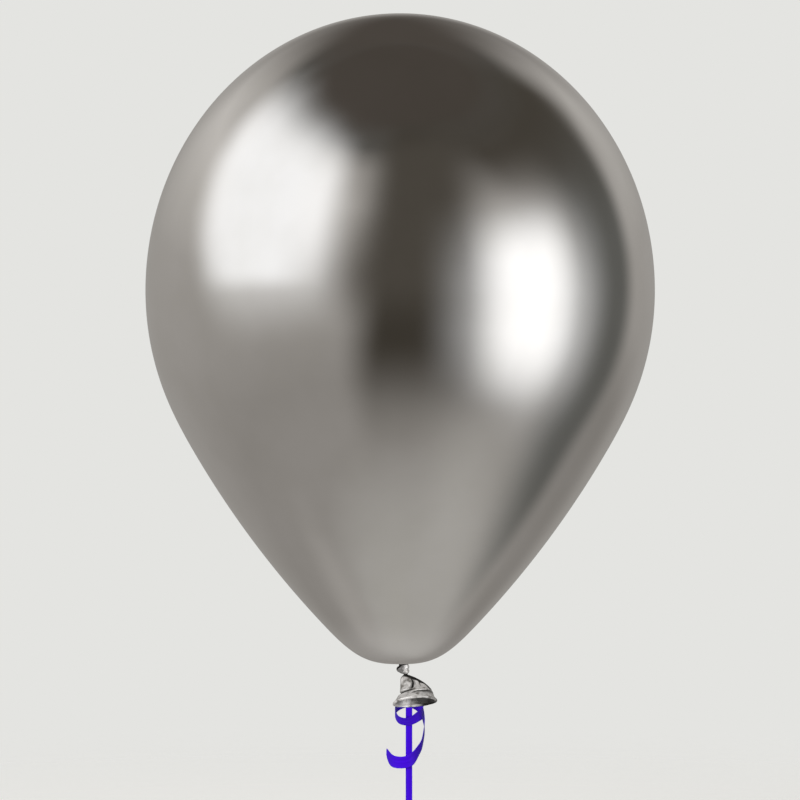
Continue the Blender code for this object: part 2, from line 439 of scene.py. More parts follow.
@dataclass(frozen=True)
class ChromeLatex:
    """Dipped natural latex with a metallic silver-grey finish.

    The balloon is a dipped film with a fine mirror-like pigment in its surface, blown up tight.
    The eye gets a soft-edged mirror: the room's shapes show, a little blurred and warm grey.
    Where the film isn't stretched, at the knot and the tail, the pigment lies crowded and dull,
    so a pale satin shows between the highlights and fine wrinkles break them up.
    """

    name: str = "chrome_latex_blown"
    tint: str = "#FAF8F6"
    deep_tint: str = "#F5F3F0"
    # The painted shade's colour, for both the film's colour and its reflection's tint.
    painted_shade_tint: str = "#FAF8F6"
    metallic: float = 1.0
    roughness: float = 0.11
    rough_spread: float = 0.02
    mottle_mm: float = 38.0
    mottle_range: Pair = (0.35, 0.7)
    grain_mm: float = 0.9
    grain_range: Pair = (0.3, 0.7)
    grain_strength: float = 0.015
    grain_deep_mm: float = 0.05
    wrinkle_mm: float = 0.0
    wrinkle_strength: float = 0.0
    wrinkle_deep_mm: float = 0.3

    # The film is thicker and duller towards the throat: from, to, how much rougher and how much
    # less like a mirror.
    dull_from_mm: float = -188.0
    dull_to_mm: float = -214.0
    dull_by: float = 0.0
    satin_by: float = 0.0

    def tinted(self, tree: Tree, place: Signal, fold: Signal) -> Signal:
        """Add the film's colour.

        Args:
            tree: the material's node tree.
            place: object coordinates in metres.
            fold: how much painted shade the place has, from 0 to 1.

        Returns:
            The colour's socket.
        """
        # The dip leaves slow changes of film thickness, a few centimetres across.
        mottle = add_node(
            tree, "ShaderNodeTexNoise",
            {"Vector": place, "Scale": 1 / (self.mottle_mm * MM), "Detail": 3.0},
        )
        share = add_node(
            tree, "ShaderNodeMapRange",
            {"Value": mottle, "From Min": self.mottle_range[0],
             "From Max": self.mottle_range[1]},
        )
        open_film = add_node(
            tree, "ShaderNodeMix",
            {SHARE: share, FROM: linear(self.tint), TO: linear(self.deep_tint)},
            data_type="RGBA",
        )
        return add_node(
            tree, "ShaderNodeMix",
            {SHARE: fold, FROM: open_film.outputs[MIXED], TO: linear(self.painted_shade_tint)},
            data_type="RGBA",
        ).outputs[MIXED]

    def dulled(self, tree: Tree, place: Signal, rough: Signal) -> dict[str, Signal]:
        """Add what makes the film rougher and more satin towards the throat.

        Args:
            tree: the material's node tree.
            place: object coordinates in metres.
            rough: the roughness of the open film.

        Returns:
            The shader's inputs that change.
        """
        height = add_node(tree, "ShaderNodeSeparateXYZ", {0: place}).outputs["Z"]
        low, high = self.dull_from_mm * MM, self.dull_to_mm * MM
        near = add_node(
            tree, "ShaderNodeMapRange", {"Value": height, "From Min": low, "From Max": high},
            interpolation_type="SMOOTHSTEP",
        )
        changes = {"Roughness": (self.dull_by, rough), "Metallic": (-self.satin_by, self.metallic)}
        return {
            name: add_node(
                tree, "ShaderNodeMath", {0: near, 1: change, 2: start}, operation="MULTIPLY_ADD"
            )
            for name, (change, start) in changes.items()
        }

    def bumped(self, tree: Tree, place: Signal, grain: Signal) -> Signal:
        """Add the fine relief: the pigment's grain, and on slack film its wrinkles.

        Args:
            tree: the material's node tree.
            place: object coordinates in metres.
            grain: the pigment's grain, from 0 to 1.

        Returns:
            What gives the normal.
        """
        strength, deep = self.grain_strength, self.grain_deep_mm * MM
        bump = add_node(
            tree, "ShaderNodeBump", {"Strength": strength, "Distance": deep, "Height": grain}
        )
        if self.wrinkle_mm:
            wrinkle = add_node(
                tree, "ShaderNodeTexNoise",
                {"Vector": place, "Scale": 1 / (self.wrinkle_mm * MM), "Detail": 4.0,
                 "Distortion": 0.6},
            )
            bump = add_node(
                tree, "ShaderNodeBump",
                {"Strength": self.wrinkle_strength, "Distance": self.wrinkle_deep_mm * MM,
                 "Height": wrinkle, "Normal": bump},
            )
        return bump

    def material(self) -> bpy.types.Material:
        """Build the finish.

        Returns:
            The material, which reads object coordinates in metres.
        """
        made, shader = start_material(self.name, {"Metallic": self.metallic})
        tree = made.node_tree
        place = add_node(tree, "ShaderNodeTexCoord").outputs["Object"]

        # Painted shade: where the stored painted shade is high, in folds, creases and inside the
        # neck, the colour and the reflection's tint turn dark.
        fold = add_node(tree, "ShaderNodeAttribute", attribute_name="painted_shade_amount").outputs["Fac"]
        gloss = add_node(
            tree, "ShaderNodeMix",
            {SHARE: fold, FROM: linear("#FFFFFF"), TO: linear(self.painted_shade_tint)}, data_type="RGBA",
        ).outputs[MIXED]

        # Grain of the pigment: real flakes are 0.02 mm, drawn at 0.9 mm so that they show.
        grain = add_node(
            tree, "ShaderNodeTexNoise",
            {"Vector": place, "Scale": 1 / (self.grain_mm * MM), "Detail": 2.0},
        )
        rough = add_node(
            tree, "ShaderNodeMapRange",
            {
                "Value": grain,
                "From Min": self.grain_range[0],
                "From Max": self.grain_range[1],
                "To Min": self.roughness - self.rough_spread,
                "To Max": self.roughness + self.rough_spread,
            },
        )
        inputs = {
            "Base Color": self.tinted(tree, place, fold),
            "Specular Tint": gloss,
            "Roughness": rough,
            "Normal": self.bumped(tree, place, grain),
        }
        if self.dull_by:
            inputs |= self.dulled(tree, place, rough)
        set_inputs(shader, inputs)
        return made


@dataclass(frozen=True)
class CurlingRibbonFilm:
    """Extruded polypropylene curling ribbon, dyed through, blue-violet.

    The film is rolled with fine lengthwise ribs. The eye gets a saturated blue with a satin
    gloss that runs across the ribs, and a paler streak where a bend faces the light.
    """

    name: str = "polypropylene_ribbon"
    tint: str = "#3F0CCB"
    streak_tint: str = "#3406B2"
    streak_range: Pair = (0.3, 0.75)
    roughness: float = 0.45
    rough_spread: Pair = (-0.06, 0.08)
    ior: float = 1.49
    gloss: float = 0.15

    # What the UV map spans: u runs round both faces of the film, and v along it.
    girth_mm: float = 14.0
    length_mm: float = 100.0

    # The width and length of a streak, and how far apart the ribs are.
    streak_mm: Pair = (0.636, 33.3)
    rib_mm: float = 2.76
    rib_strength: float = 0.25
    rib_deep_mm: float = 0.05

    def material(self) -> bpy.types.Material:
        """Build the finish.

        Returns:
            The material, which reads the strip's UV map: u across the ribbon, v along it.
        """
        made, shader = start_material(
            self.name, {"IOR": self.ior, "Specular IOR Level": self.gloss}
        )
        tree = made.node_tree
        place = add_node(tree, "ShaderNodeTexCoord").outputs["UV"]

        # Streaks of dye and of the roller run lengthwise.
        counts = (self.girth_mm / self.streak_mm[0], self.length_mm / self.streak_mm[1], 1.0)
        stretched = add_node(tree, "ShaderNodeMapping", {"Vector": place, "Scale": counts})
        streak = add_node(
            tree, "ShaderNodeTexNoise",
            {"Vector": stretched, "Scale": 1.0, "Detail": 3.0},
        )
        share = add_node(
            tree, "ShaderNodeMapRange",
            {"Value": streak, "From Min": self.streak_range[0], "From Max": self.streak_range[1]},
        )
        colour = add_node(
            tree, "ShaderNodeMix",
            {SHARE: share, FROM: linear(self.tint), TO: linear(self.streak_tint)},
            data_type="RGBA",
        )
        least, most = (self.roughness + spread for spread in self.rough_spread)
        rough = add_node(
            tree, "ShaderNodeMapRange", {"Value": streak, "To Min": least, "To Max": most}
        )

        # The roller's ribs: real ones are 0.35 mm apart, drawn 2.8 mm apart so that they show.
        # The wave runs through 20 radians for each unit of its scale.
        waves = self.girth_mm / self.rib_mm
        ribs = add_node(
            tree, "ShaderNodeTexWave", {"Vector": place, "Scale": waves * math.tau / 20},
            bands_direction="X",
        )
        bump = add_node(
            tree, "ShaderNodeBump",
            {"Strength": self.rib_strength, "Distance": self.rib_deep_mm * MM,
             "Height": ribs.outputs["Fac"]},
        )
        tinted = colour.outputs[MIXED]
        set_inputs(shader, {"Base Color": tinted, "Roughness": rough, "Normal": bump})
        return made


# Studio


@dataclass(frozen=True)
class Panel:
    """A soft-edged lamp or dark flag round the object, as degrees seen from it.

    Azimuth 0 is the camera's side and 90 is the right. Where the panel stands behind, 0 is the
    far side. The softness is given for the left, right, lower and upper edge, and a slant moves
    the left and right edges for each degree of height.
    """

    name: str
    colour: str
    left: float
    right: float
    bottom: float
    top: float
    soft: tuple[float, float, float, float]
    slant: Pair = (0.0, 0.0)
    behind: bool = False
    strength: float = 1.0


@dataclass
class Studio:
    """The camera, the plain floor and backdrop, and the room that the chrome reflects."""

    distance: float = 2.0
    frame_width: float = 0.4724
    centre: Triple = (-0.0001, 0.0, -0.0645)
    sensor_mm: float = 36.0
    view_end: float = 20.0
    backdrop: str = "#E4E4E1"

    # The floor's rings, and where it fades into the backdrop, are shares of its radius.
    floor_z: float = -0.36
    floor_radius: float = 1.1
    floor_rings: tuple[float, ...] = (0.001, 0.3, 0.6, 0.85, 1.0)
    floor_sides: int = 96
    floor_fade: Pair = (0.35, 0.95)
    floor_tint: str = "#F2F2EF"
    floor_roughness: float = 0.9
    floor_glow: float = 0.62

    # The fill lamp's place, size and power.
    fill_place: Triple = (-0.5, -2.1, -0.06)
    fill_size: Pair = (1.4, 0.5)
    fill_watts: float = 50.0

    # Panels fade out here, where the azimuth wraps: the place and how soft it is.
    wrap_fade: Pair = (170.0, 10.0)

    # Height in degrees and the surroundings' colour there: floor, wall, then the dark ceiling.
    heights: tuple[tuple[float, str], ...] = (
        (-90.0, "#A5A39E"),
        (-72.0, "#A09E9A"),
        (-58.0, "#8C8985"),
        (-36.0, "#898682"),
        (-14.0, "#94918D"),
        (8.0, "#9C9995"),
        (30.0, "#C0BDB9"),
        (44.0, "#A5A29E"),
        (54.0, "#51504D"),
        (66.0, "#46413C"),
        (90.0, "#46413C"),
    )
    panels: tuple[Panel, ...] = (
        Panel("left_glow", "#FBFBFB", -92, -29, 4, 50, (15, 12, 25, 13), (-0.67, -0.08)),
        Panel("far_flag", "#4A4540", -4, -2, 17, 63, (26, 21, 10, 3), (-0.58, 0.69), True),
        Panel("right_dusk", "#807D79", 124, 150, -36, -12, (10, 12, 10, 10)),
        Panel("right_flag", "#5A5A57", 84, 124.5, -66, 53, (18, 8, 22, 1), (-0.13, 0.06)),
        Panel("right_top", "#423E38", 63, 141, 28, 62, (29, 14, 21, 14), (-0.74, -0.04)),
        Panel("front_flag", "#3A3630", -16, 40, -45, 63, (12, 23, 25, 6), (0.19, -0.14)),
        Panel("front_top", "#49453F", -24, 23, -6, 60, (24, 17, 12, 10), (0.20, 0.31)),
        Panel("floor_glow", "#A4A29E", 23, 176, -87, -51, (30, 2, 7, 15), (-0.16, -1.18)),
        Panel("left_floor", "#9B9894", -134, -96, -72, -53, (12, 12, 8, 8)),
        Panel("left_softbox", "#F8F9FA", -88, -45, 2.5, 52, (14, 16, 4, 17), (-0.42, -0.09)),
        Panel("right_halo", "#E2E3E4", 36, 88, -33, 17, (30, 25, 20, 19)),
        Panel(
            "right_softbox", "#FFFFFF", 42, 78, -29, 19, (14, 12, 17, 11), (-0.06, 0.0),
            strength=1.14,
        ),
    )

    def place_camera(self) -> None:
        """Set the camera where the photograph was taken from."""
        lens = bpy.data.cameras.new("studio_camera")
        lens.sensor_width = self.sensor_mm
        lens.lens = self.sensor_mm * self.distance / self.frame_width
        lens.clip_end = self.view_end
        camera = bpy.data.objects.new("studio_camera", lens)
        camera.location = Vector(self.centre) - Vector((0, self.distance, 0))
        camera.rotation_euler = (math.pi / 2, 0, 0)
        bpy.context.collection.objects.link(camera)
        bpy.context.scene.camera = camera
        bpy.context.scene.view_settings.view_transform = "Standard"

    def soft_step(self, tree: Tree, value: Signal, at: float, soft: float) -> Signal:
        """Add a soft step in degrees.

        Args:
            tree: the world's node tree.
            value: the direction that the step is across.
            at: its middle.
            soft: half its width. Below zero it falls instead of rising.

        Returns:
            The step's node.
        """
        return add_node(
            tree, "ShaderNodeMapRange",
            {"Value": value, "From Min": at - soft, "From Max": at + soft},
            interpolation_type="SMOOTHSTEP",
        )

    def panel_mask(self, tree: Tree, panel: Panel, azimuth: Signal, height: Signal) -> Signal:
        """Add the mask of one panel.

        Args:
            tree: the world's node tree.
            panel: the lamp or flag.
            azimuth: degrees round, from the camera's side.
            height: degrees up.

        Returns:
            The node that is 1 inside the panel and 0 outside it.
        """
        leans = [
            add_node(
                tree, "ShaderNodeMath", {0: height, 1: -slant, 2: azimuth},
                operation="MULTIPLY_ADD",
            )
            for slant in panel.slant
        ]
        edges = (
            self.soft_step(tree, leans[0], panel.left, panel.soft[0]),
            self.soft_step(tree, leans[1], panel.right, -panel.soft[1]),
            self.soft_step(tree, height, panel.bottom, panel.soft[2]),
            self.soft_step(tree, height, panel.top, -panel.soft[3]),
            self.soft_step(tree, azimuth, self.wrap_fade[0], -self.wrap_fade[1]),
        )
        mask = edges[0]
        for edge in edges[1:]:
            both = {0: mask, 1: edge}
            mask = add_node(tree, "ShaderNodeMath", both, operation="MULTIPLY")
        return mask

    def bearings(self, tree: Tree) -> list[Signal]:
        """Add the direction that is looked in, in degrees.

        Args:
            tree: the world's node tree.

        Returns:
            The azimuth from the camera's side, the one from the far side, and the height.
        """
        way = add_node(tree, "ShaderNodeTexCoord").outputs["Generated"]
        x, y, z = add_node(tree, "ShaderNodeSeparateXYZ", {0: way}).outputs
        toward = add_node(tree, "ShaderNodeMath", {0: y, 1: -1.0}, operation="MULTIPLY")
        turn = add_node(tree, "ShaderNodeMath", {0: x, 1: toward}, operation="ARCTAN2")
        rise = add_node(tree, "ShaderNodeMath", {0: z}, operation="ARCSINE")
        azimuth, height = (
            add_node(tree, "ShaderNodeMath", {0: one}, operation="DEGREES")
            for one in (turn, rise)
        )
        wrapped = add_node(tree, "ShaderNodeMath", {0: azimuth, 1: 0.0, 2: 360.0}, operation="WRAP")
        far = add_node(tree, "ShaderNodeMath", {0: wrapped, 1: 180.0}, operation="SUBTRACT")
        return [azimuth, far, height]

    def light_world(self) -> None:
        """Paint the room that the chrome mirrors, with its lamps and dark flags.

        The camera itself sees a plain backdrop.
        """
        world = bpy.data.worlds.new("studio_world")
        bpy.context.scene.world = world
        world.use_nodes = True
        tree = world.node_tree
        tree.nodes.clear()
        azimuth, far_azimuth, height = self.bearings(tree)
        level = add_node(
            tree, "ShaderNodeMapRange", {"Value": height, "From Min": -90.0, "From Max": 90.0}
        )
        ramp = add_node(tree, "ShaderNodeValToRGB", {"Fac": level})
        stops = ramp.color_ramp.elements
        while len(stops) < len(self.heights):
            stops.new(0.5)
        for stop, (degrees, colour) in zip(stops, self.heights):
            stop.position = (degrees + 90.0) / 180.0
            stop.color = linear(colour)
        seen = ramp
        for panel in self.panels:
            facing = far_azimuth if panel.behind else azimuth
            mask = self.panel_mask(tree, panel, facing, height)
            bright = [value * panel.strength for value in linear(panel.colour)[:3]]
            seen = add_node(
                tree, "ShaderNodeMix", {SHARE: mask, FROM: seen, TO: (*bright, 1.0)},
                data_type="RGBA", label=panel.name,
            ).outputs[MIXED]

        ray = add_node(tree, "ShaderNodeLightPath").outputs["Is Camera Ray"]
        lit, plain = (
            add_node(tree, "ShaderNodeBackground", {"Color": colour})
            for colour in (seen, linear(self.backdrop))
        )
        both = add_node(tree, "ShaderNodeMixShader", {0: ray, 1: lit, 2: plain})
        add_node(tree, "ShaderNodeOutputWorld", {"Surface": both})

    def hang_fill_lamp(self) -> None:
        """Hang a broad soft lamp by the camera, which the chrome doesn't reflect."""
        light = bpy.data.lights.new("studio_fill_lamp", "AREA")
        light.shape = "RECTANGLE"
        light.size, light.size_y = self.fill_size
        light.energy = self.fill_watts
        lamp = bpy.data.objects.new("studio_fill_lamp", light)
        lamp.location = self.fill_place
        toward = Vector(self.centre) - Vector(self.fill_place)
        lamp.rotation_euler = toward.to_track_quat("-Z", "Y").to_euler()
        lamp.visible_glossy = False
        bpy.context.collection.objects.link(lamp)

    def floor_paper(self) -> bpy.types.Material:
        """Build the floor's pale paper.

        Returns:
            The material. It fades out toward the floor's edge, and is clear from below.
        """
        made, shader = start_material(
            "studio_floor_paper",
            {
                "Base Color": linear(self.floor_tint),
                "Roughness": self.floor_roughness,
                "Emission Color": linear(self.backdrop),
                "Emission Strength": self.floor_glow,
            },
        )
        tree = made.node_tree
        place = add_node(tree, "ShaderNodeTexCoord").outputs["Object"]
        flat = add_node(
            tree, "ShaderNodeVectorMath", {0: place, 1: (1.0, 1.0, 0.0)}, operation="MULTIPLY"
        )
        reach = add_node(tree, "ShaderNodeVectorMath", {0: flat}, operation="LENGTH")
        start, end = (self.floor_radius * share for share in self.floor_fade)
        fade = add_node(
            tree, "ShaderNodeMapRange",
            {
                "Value": reach.outputs["Value"],
                "From Min": start,
                "From Max": end,
                "To Min": 1.0,
                "To Max": 0.0,
            },
            interpolation_type="SMOOTHSTEP",
        )
        under = add_node(tree, "ShaderNodeNewGeometry").outputs["Backfacing"]
        above = add_node(tree, "ShaderNodeMath", {0: 1.0, 1: under}, operation="SUBTRACT")
        shown = add_node(tree, "ShaderNodeMath", {0: fade, 1: above}, operation="MULTIPLY")
        set_inputs(shader, {"Alpha": shown})
        return made

    def lay_floor(self) -> None:
        """Lay a plain pale floor, which fades into the backdrop."""
        middle = Vector((0, 0, self.floor_z))
        ways = [Vector((math.cos(a), math.sin(a), 0)) for a in turn_angles(self.floor_sides)]
        rows = [
            [way * self.floor_radius * ring + middle for way in ways]
            for ring in self.floor_rings
        ]
        floor = grid_mesh("studio_floor", rows)
        if floor.data.polygons[0].normal.z < 0:
            floor.data.flip_normals()
        floor.data.materials.append(self.floor_paper())
        floor.visible_glossy = False
        floor.visible_diffuse = False


# The balloon


@dataclass
class Envelope(SubAssembly):
    """The blown-up wall, from the crown down to the gathered throat."""

    sides: int = 192
    crown_steps: int = 400
    arc_steps: int = 60

    # Radius in mm and turn in degrees of the arcs from the widest circle down to the throat. The
    # last ones are the dimple, where the wall turns up and then down into the throat.
    arcs: tuple[Pair, ...] = (
        (165.9, 28.56),
        (559.5, 16.68),
        (36.0, 44.76),
        (2.2, 90.0),
        (-1.3, 180.0),
    )
    dimple_arcs: int = 2
    throat_mm: float = 2.6

    # How far the bends are blended into each other: the most, the least, at the dimple, and how
    # fast it grows away from it. Each heading is the mean of samples on both sides.
    blend_mm: float = 17.0
    least_blend_mm: float = 0.25
    blend_rate: float = 0.6
    blend_samples: int = 6

    # The outline is traced in short steps. Its rings are fine at the dimple and coarse from a
    # distance above it on.
    trace_mm: float = 0.1
    rings_mm: Pair = (0.3, 2.6)
    coarse_from_mm: Pair = (4.0, 90.0)

    # The pleats round the throat: how deep, how far out they fade, from which radius on they
    # are full, how many with which phase, how much less each next wave does, the mean and the
    # swing of their depth, and how much of it also widens the wall.
    gather_mm: float = 0.30
    gather_fade_mm: Pair = (4.0, 11.0)
    gather_full_mm: float = 8.0
    gather_waves: tuple[tuple[int, float], ...] = ((17, 0.0), (13, 1.9), (22, 4.0))
    gather_lessens: float = 0.6
    gather_mean: float = 0.95
    gather_swing: float = 0.5
    gather_spread: float = 0.3
    gathers_below_mm: float = -190.0

    # The small hole that the cap closes at the crown.
    tip_mm: float = 0.02

    def bends(self, radius: float, height: float) -> list[Pair]:
        """List the outline's heading by length run, from the crown's middle to the throat.

        Args:
            radius: of the widest circle.
            height: of the crown above it.

        Returns:
            Pairs of length run and heading: 0 is outward, a quarter turn is straight down.
        """
        made = [(0.0, 0.0)]
        before = (0.0, height)
        for step in range(1, self.crown_steps + 1):
            angle = math.pi / 2 * step / self.crown_steps
            now = (radius * math.sin(angle), height * math.cos(angle))
            run = made[-1][0] + math.dist(before, now)
            made.append((run, math.atan2(height * math.sin(angle), radius * math.cos(angle))))
            before = now
        for bend, degrees in self.arcs:
            start_run, start = made[-1]
            turn = math.radians(degrees)
            for step in range(1, self.arc_steps + 1):
                share = step / self.arc_steps
                run = start_run + abs(bend) * MM * turn * share
                made.append((run, start + math.copysign(turn, bend) * share))
        made.append((made[-1][0] + self.throat_mm * MM, made[-1][1]))
        return made

    def outline(self, radius: float, top: float, bottom: float) -> list[Pair]:
        """Give the outline with its bends blended into each other.

        Args:
            radius: of the widest circle.
            top: the crown's height.
            bottom: the throat's lowest height.

        Returns:
            Pairs of radius and height from the crown to the throat.
        """
        bends = self.bends(radius, top)
        total = bends[-1][0]
        tight = self.arcs[-self.dimple_arcs :]
        dimple = total - sum(abs(bend) * MM * math.radians(turn) for bend, turn in tight)
        dimple -= self.throat_mm * MM
        step = self.trace_mm * MM
        most = self.blend_mm * MM
        fine, coarse = self.rings_mm
        near, far = (place * MM for place in self.coarse_from_mm)
        shares = range(-self.blend_samples, self.blend_samples + 1)
        run = kept_run = 0.0
        r, z = 0.0, top
        keep = [(r, z)]
        while run < total:
            middle = run + step / 2
            eased = math.tanh(abs(dimple - middle) * self.blend_rate / most)
            reach = max(most * eased, self.least_blend_mm * MM)
            samples = []
            for share in shares:
                place = middle + reach * (share / self.blend_samples)
                samples.append(math.copysign(read_line(bends, abs(place)), place))
            heading = sum(samples) / len(samples)
            r, z = r + step * math.cos(heading), z - step * math.sin(heading)
            run += step
            gap = fine + (coarse - fine) * smooth(dimple - run, near, far)
            if run - kept_run > (gap - self.trace_mm / 2) * MM:
                keep.append((r, z))
                kept_run = run
        keep.append((r, z))
        widest = max(r for r, _ in keep)
        lowest = keep[-1][1]
        return [
            (r * radius / widest, top - (top - z) * (top - bottom) / (top - lowest))
            for r, z in keep
        ]

    def gather(self, angle: float, radius: float) -> float:
        """Give how far the fine pleats round the throat are pushed in.

        Args:
            angle: round the throat.
            radius: from its middle.

        Returns:
            The depth in metres.
        """
        start, end = (place * MM for place in self.gather_fade_mm)
        near = 1.0 - smooth(radius, start, end)
        wave = 0.0
        for number, (count, phase) in enumerate(self.gather_waves):
            wave += math.cos(count * angle + phase) / (1 + self.gather_lessens * number)
        room = min(radius / (self.gather_full_mm * MM), 1.0)
        depth = self.gather_mean + wave * self.gather_swing
        return self.gather_mm * MM * near * room * depth

    def build(self) -> None:
        """Make and dress the wall."""
        low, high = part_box("envelope")
        rows = []
        for radius, z in self.outline(high.x, high.z, low.z):
            radius = max(radius, self.tip_mm * MM)
            row = []
            for angle in turn_angles(self.sides):
                pushed = self.gather(angle, radius) if z < self.gathers_below_mm * MM else 0.0
                reach = radius + pushed * self.gather_spread
                row.append(Vector((reach * math.cos(angle), reach * math.sin(angle), z + pushed)))
            rows.append(row)
        piece = grid_mesh("balloon_envelope", rows, caps=True)
        self.dress(piece, "envelope", mirrored=True)


@dataclass
class NeckKnot(SubAssembly):
    """The overhand knot that closes the neck: the neck wrapped round itself and pulled tight.

    Its two wraps lie apart on the right, with a groove between them, and run into one lobe on
    the left. Above them the neck comes out of the throat, and below them it is pinched to a
    thin waist.
    """

    # A wrap's strand, how much thicker it is on the left, and the upper and the lower loop.
    strand_mm: float = 1.72
    left_swell: float = 0.13
    loop_mm: float = 2.1
    lower_loop_mm: float = 1.65
    lower_shift_mm: float = 0.45
    loop_depth: float = 0.75

    # How far apart the wraps are at most and at least, toward which angle they open and how
    # soon, and how far and at which angle in radians each one is tilted.
    apart_mm: float = 1.34
    pinched_mm: float = 0.15
    opens_toward: float = -30.0
    opens_late: float = 1.2
    tilt_mm: float = 0.22
    tilt_phase: float = 0.7

    # How far the skin reaches past its solid, into the tail and into the throat.
    waist_mm: float = 0.55
    throat_mm: float = 0.65
    steps: int = 96
    sides: int = 28
    voxel_mm: float = 0.10
    smoothing: float = 0.6
    smoothing_rounds: int = 4

    # Where painted shade darkens the film. The groove starts past the strands, as shares of their
    # radius. The left edge and the dusky left part end at a place across the knot, which moves with
    # the share of its height and with an uneven line.
    groove: Pair = (0.01, 0.13)
    dark_waist_mm: Pair = (0.1, 1.0)
    dark_throat_mm: float = 0.5
    left_mm: Triple = (1.5, 3.2, 1.1)
    left_widens: Pair = (0.42, 1.0)
    left_above: Pair = (0.30, 0.5)
    dusk: float = 0.72
    dusk_mm: Pair = (4.1, 1.1)
    dusk_grain_mm: float = 1.3
    dusk_soft_mm: Pair = (0.5, 0.6)
    under_dark: float = 0.8
    under_share: Pair = (0.12, 0.32)
    under_mm: Pair = (4.4, 6.4)

    # The neck inside the wraps: place on the x axis, share of the knot's height, and radius.
    core: tuple[Triple, ...] = (
        (1.7, 1.1, 2.7),
        (1.9, 0.8, 3.0),
        (2.4, 0.5, 2.5),
        (2.9, 0.25, 1.9),
        (3.0, 0.08, 1.3),
        (3.0, -0.09, 1.15),
    )

    def wrap(self, centre: Vector, side: float) -> list[Vector]:
        """Give the middle line of one wrap.

        Args:
            centre: the knot's middle.
            side: 1 for the upper wrap, -1 for the lower one.

        Returns:
            The closed line's points.
        """
        loop = self.loop_mm if side > 0 else self.lower_loop_mm
        shift = 0.0 if side > 0 else self.lower_shift_mm
        made = []
        for angle in turn_angles(self.steps):
            opened = (1 + math.cos(angle - math.radians(self.opens_toward))) / 2
            rise = self.pinched_mm + (self.apart_mm - self.pinched_mm) * opened**self.opens_late
            x = shift + math.cos(angle) * loop
            y = math.sin(angle) * loop * self.loop_depth
            z = side * rise + self.tilt_mm * math.sin(angle + self.tilt_phase)
            made.append(centre + Vector((x, y, z)) * MM)
        return made

    def painted_shades(self, piece: Piece, line: Sequence[Vector]) -> list[float]:
        """Give the painted shade: in the groove, at the waist and the throat, on the left edge and
        the dusky left part, and low on the left.

        Args:
            piece: the knot's skin.
            line: the middle lines of both wraps.

        Returns:
            How deep in a fold each point lies.
        """
        low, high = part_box("neck_knot")
        nearest = kdtree.KDTree(len(line))
        for number, point in enumerate(line):
            nearest.insert(point, number)
        nearest.balance()
        made = []
        for vert in piece.data.vertices:
            off = nearest.find(vert.co)[2] / (self.strand_mm * MM) - 1.0
            groove = smooth(off, *self.groove)
            up, down = (vert.co.z - low.z) / MM, (high.z - vert.co.z) / MM
            waist = 1.0 - smooth(up, *self.dark_waist_mm)
            throat = 1.0 - smooth(down, 0.0, self.dark_throat_mm)
            share = (vert.co.z - low.z) / (high.z - low.z)
            across = (vert.co.x - low.x) / MM
            place, further, soft = self.left_mm
            edge = place + further * smooth(share, *self.left_widens)
            left = (1.0 - smooth(across, edge - soft, edge)) * smooth(share, *self.left_above)
            place, sway = self.dusk_mm
            middle = place + sway * noise.noise(vert.co / (self.dusk_grain_mm * MM))
            before, after = self.dusk_soft_mm
            dusky = self.dusk * (1.0 - smooth(across, middle - before, middle + after))
            under = self.under_dark * (1.0 - smooth(share, *self.under_share))
            under *= 1.0 - smooth(across, *self.under_mm)
            made.append(max(groove, waist, throat, left, dusky, under))
        return made

    def build(self) -> None:
        """Make and dress the knot."""
        low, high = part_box("neck_knot")
        centre = (low + high) / 2
        wraps = [self.wrap(centre, side) for side in (1.0, -1.0)]
        swell = [
            self.strand_mm * MM * (1 - self.left_swell * math.cos(angle))
            for angle in turn_angles(self.steps)
        ]
        pieces = [
            tube(f"neck_knot_wrap_{number}", line, swell, self.sides, closed=True)
            for number, line in enumerate(wraps, 1)
        ]
        route = [
            Vector((x * MM, centre.y, low.z + (high.z - low.z) * share))
            for x, share, _ in self.core
        ]
        radii = [radius * MM for _, _, radius in self.core]
        pieces.append(tube("neck_knot_core", route, radii, self.sides))
        piece = fuse(pieces, self.voxel_mm * MM, self.smoothing, self.smoothing_rounds)
        piece.name = "neck_knot_wraps"
        below = Vector((0, 0, self.waist_mm * MM))
        above = Vector((0, 0, self.throat_mm * MM))
        fit_to(piece, low - below, high + above)
        shade_points(piece, self.painted_shades(piece, [point for line in wraps for point in line]))
        self.dress(piece, "neck_knot")


@dataclass(frozen=True)
class Fold:
    """One fold or valley of the gathered neck.

    The angles run round the tail in degrees, at its top and at its crease: 0 is the right, 90
    the back and 270 the front. The depth is a share of the radius, below zero for a valley. The
    last two are the shares of the tail's length between which it shows.
    """

    top_angle: float
    low_angle: float
    width: float
    depth: float
    start: float
    end: float

    # Shares of the length: between the first two the fold turns from its top angle to the low
    # one, and the others are how softly it starts, starts to end and ends.
    turns: ClassVar[Pair] = (0.05, 0.60)
    fades: ClassVar[Triple] = (0.10, 0.10, 0.03)

    def height(self, degrees: float, share: float) -> float:
        """Give how far the fold stands out.

        Args:
            degrees: the angle round the tail.
            share: how far down its length.

        Returns:
            The height as a share of the radius.
        """
        middle = self.top_angle + (self.low_angle - self.top_angle) * smooth(share, *self.turns)
        rise, before, after = self.fades
        edges = (self.start, self.start + rise, self.end - before, self.end + after)
        shown = window(share, edges)
        return self.depth * shown * bell(half_turn(degrees - middle), self.width)


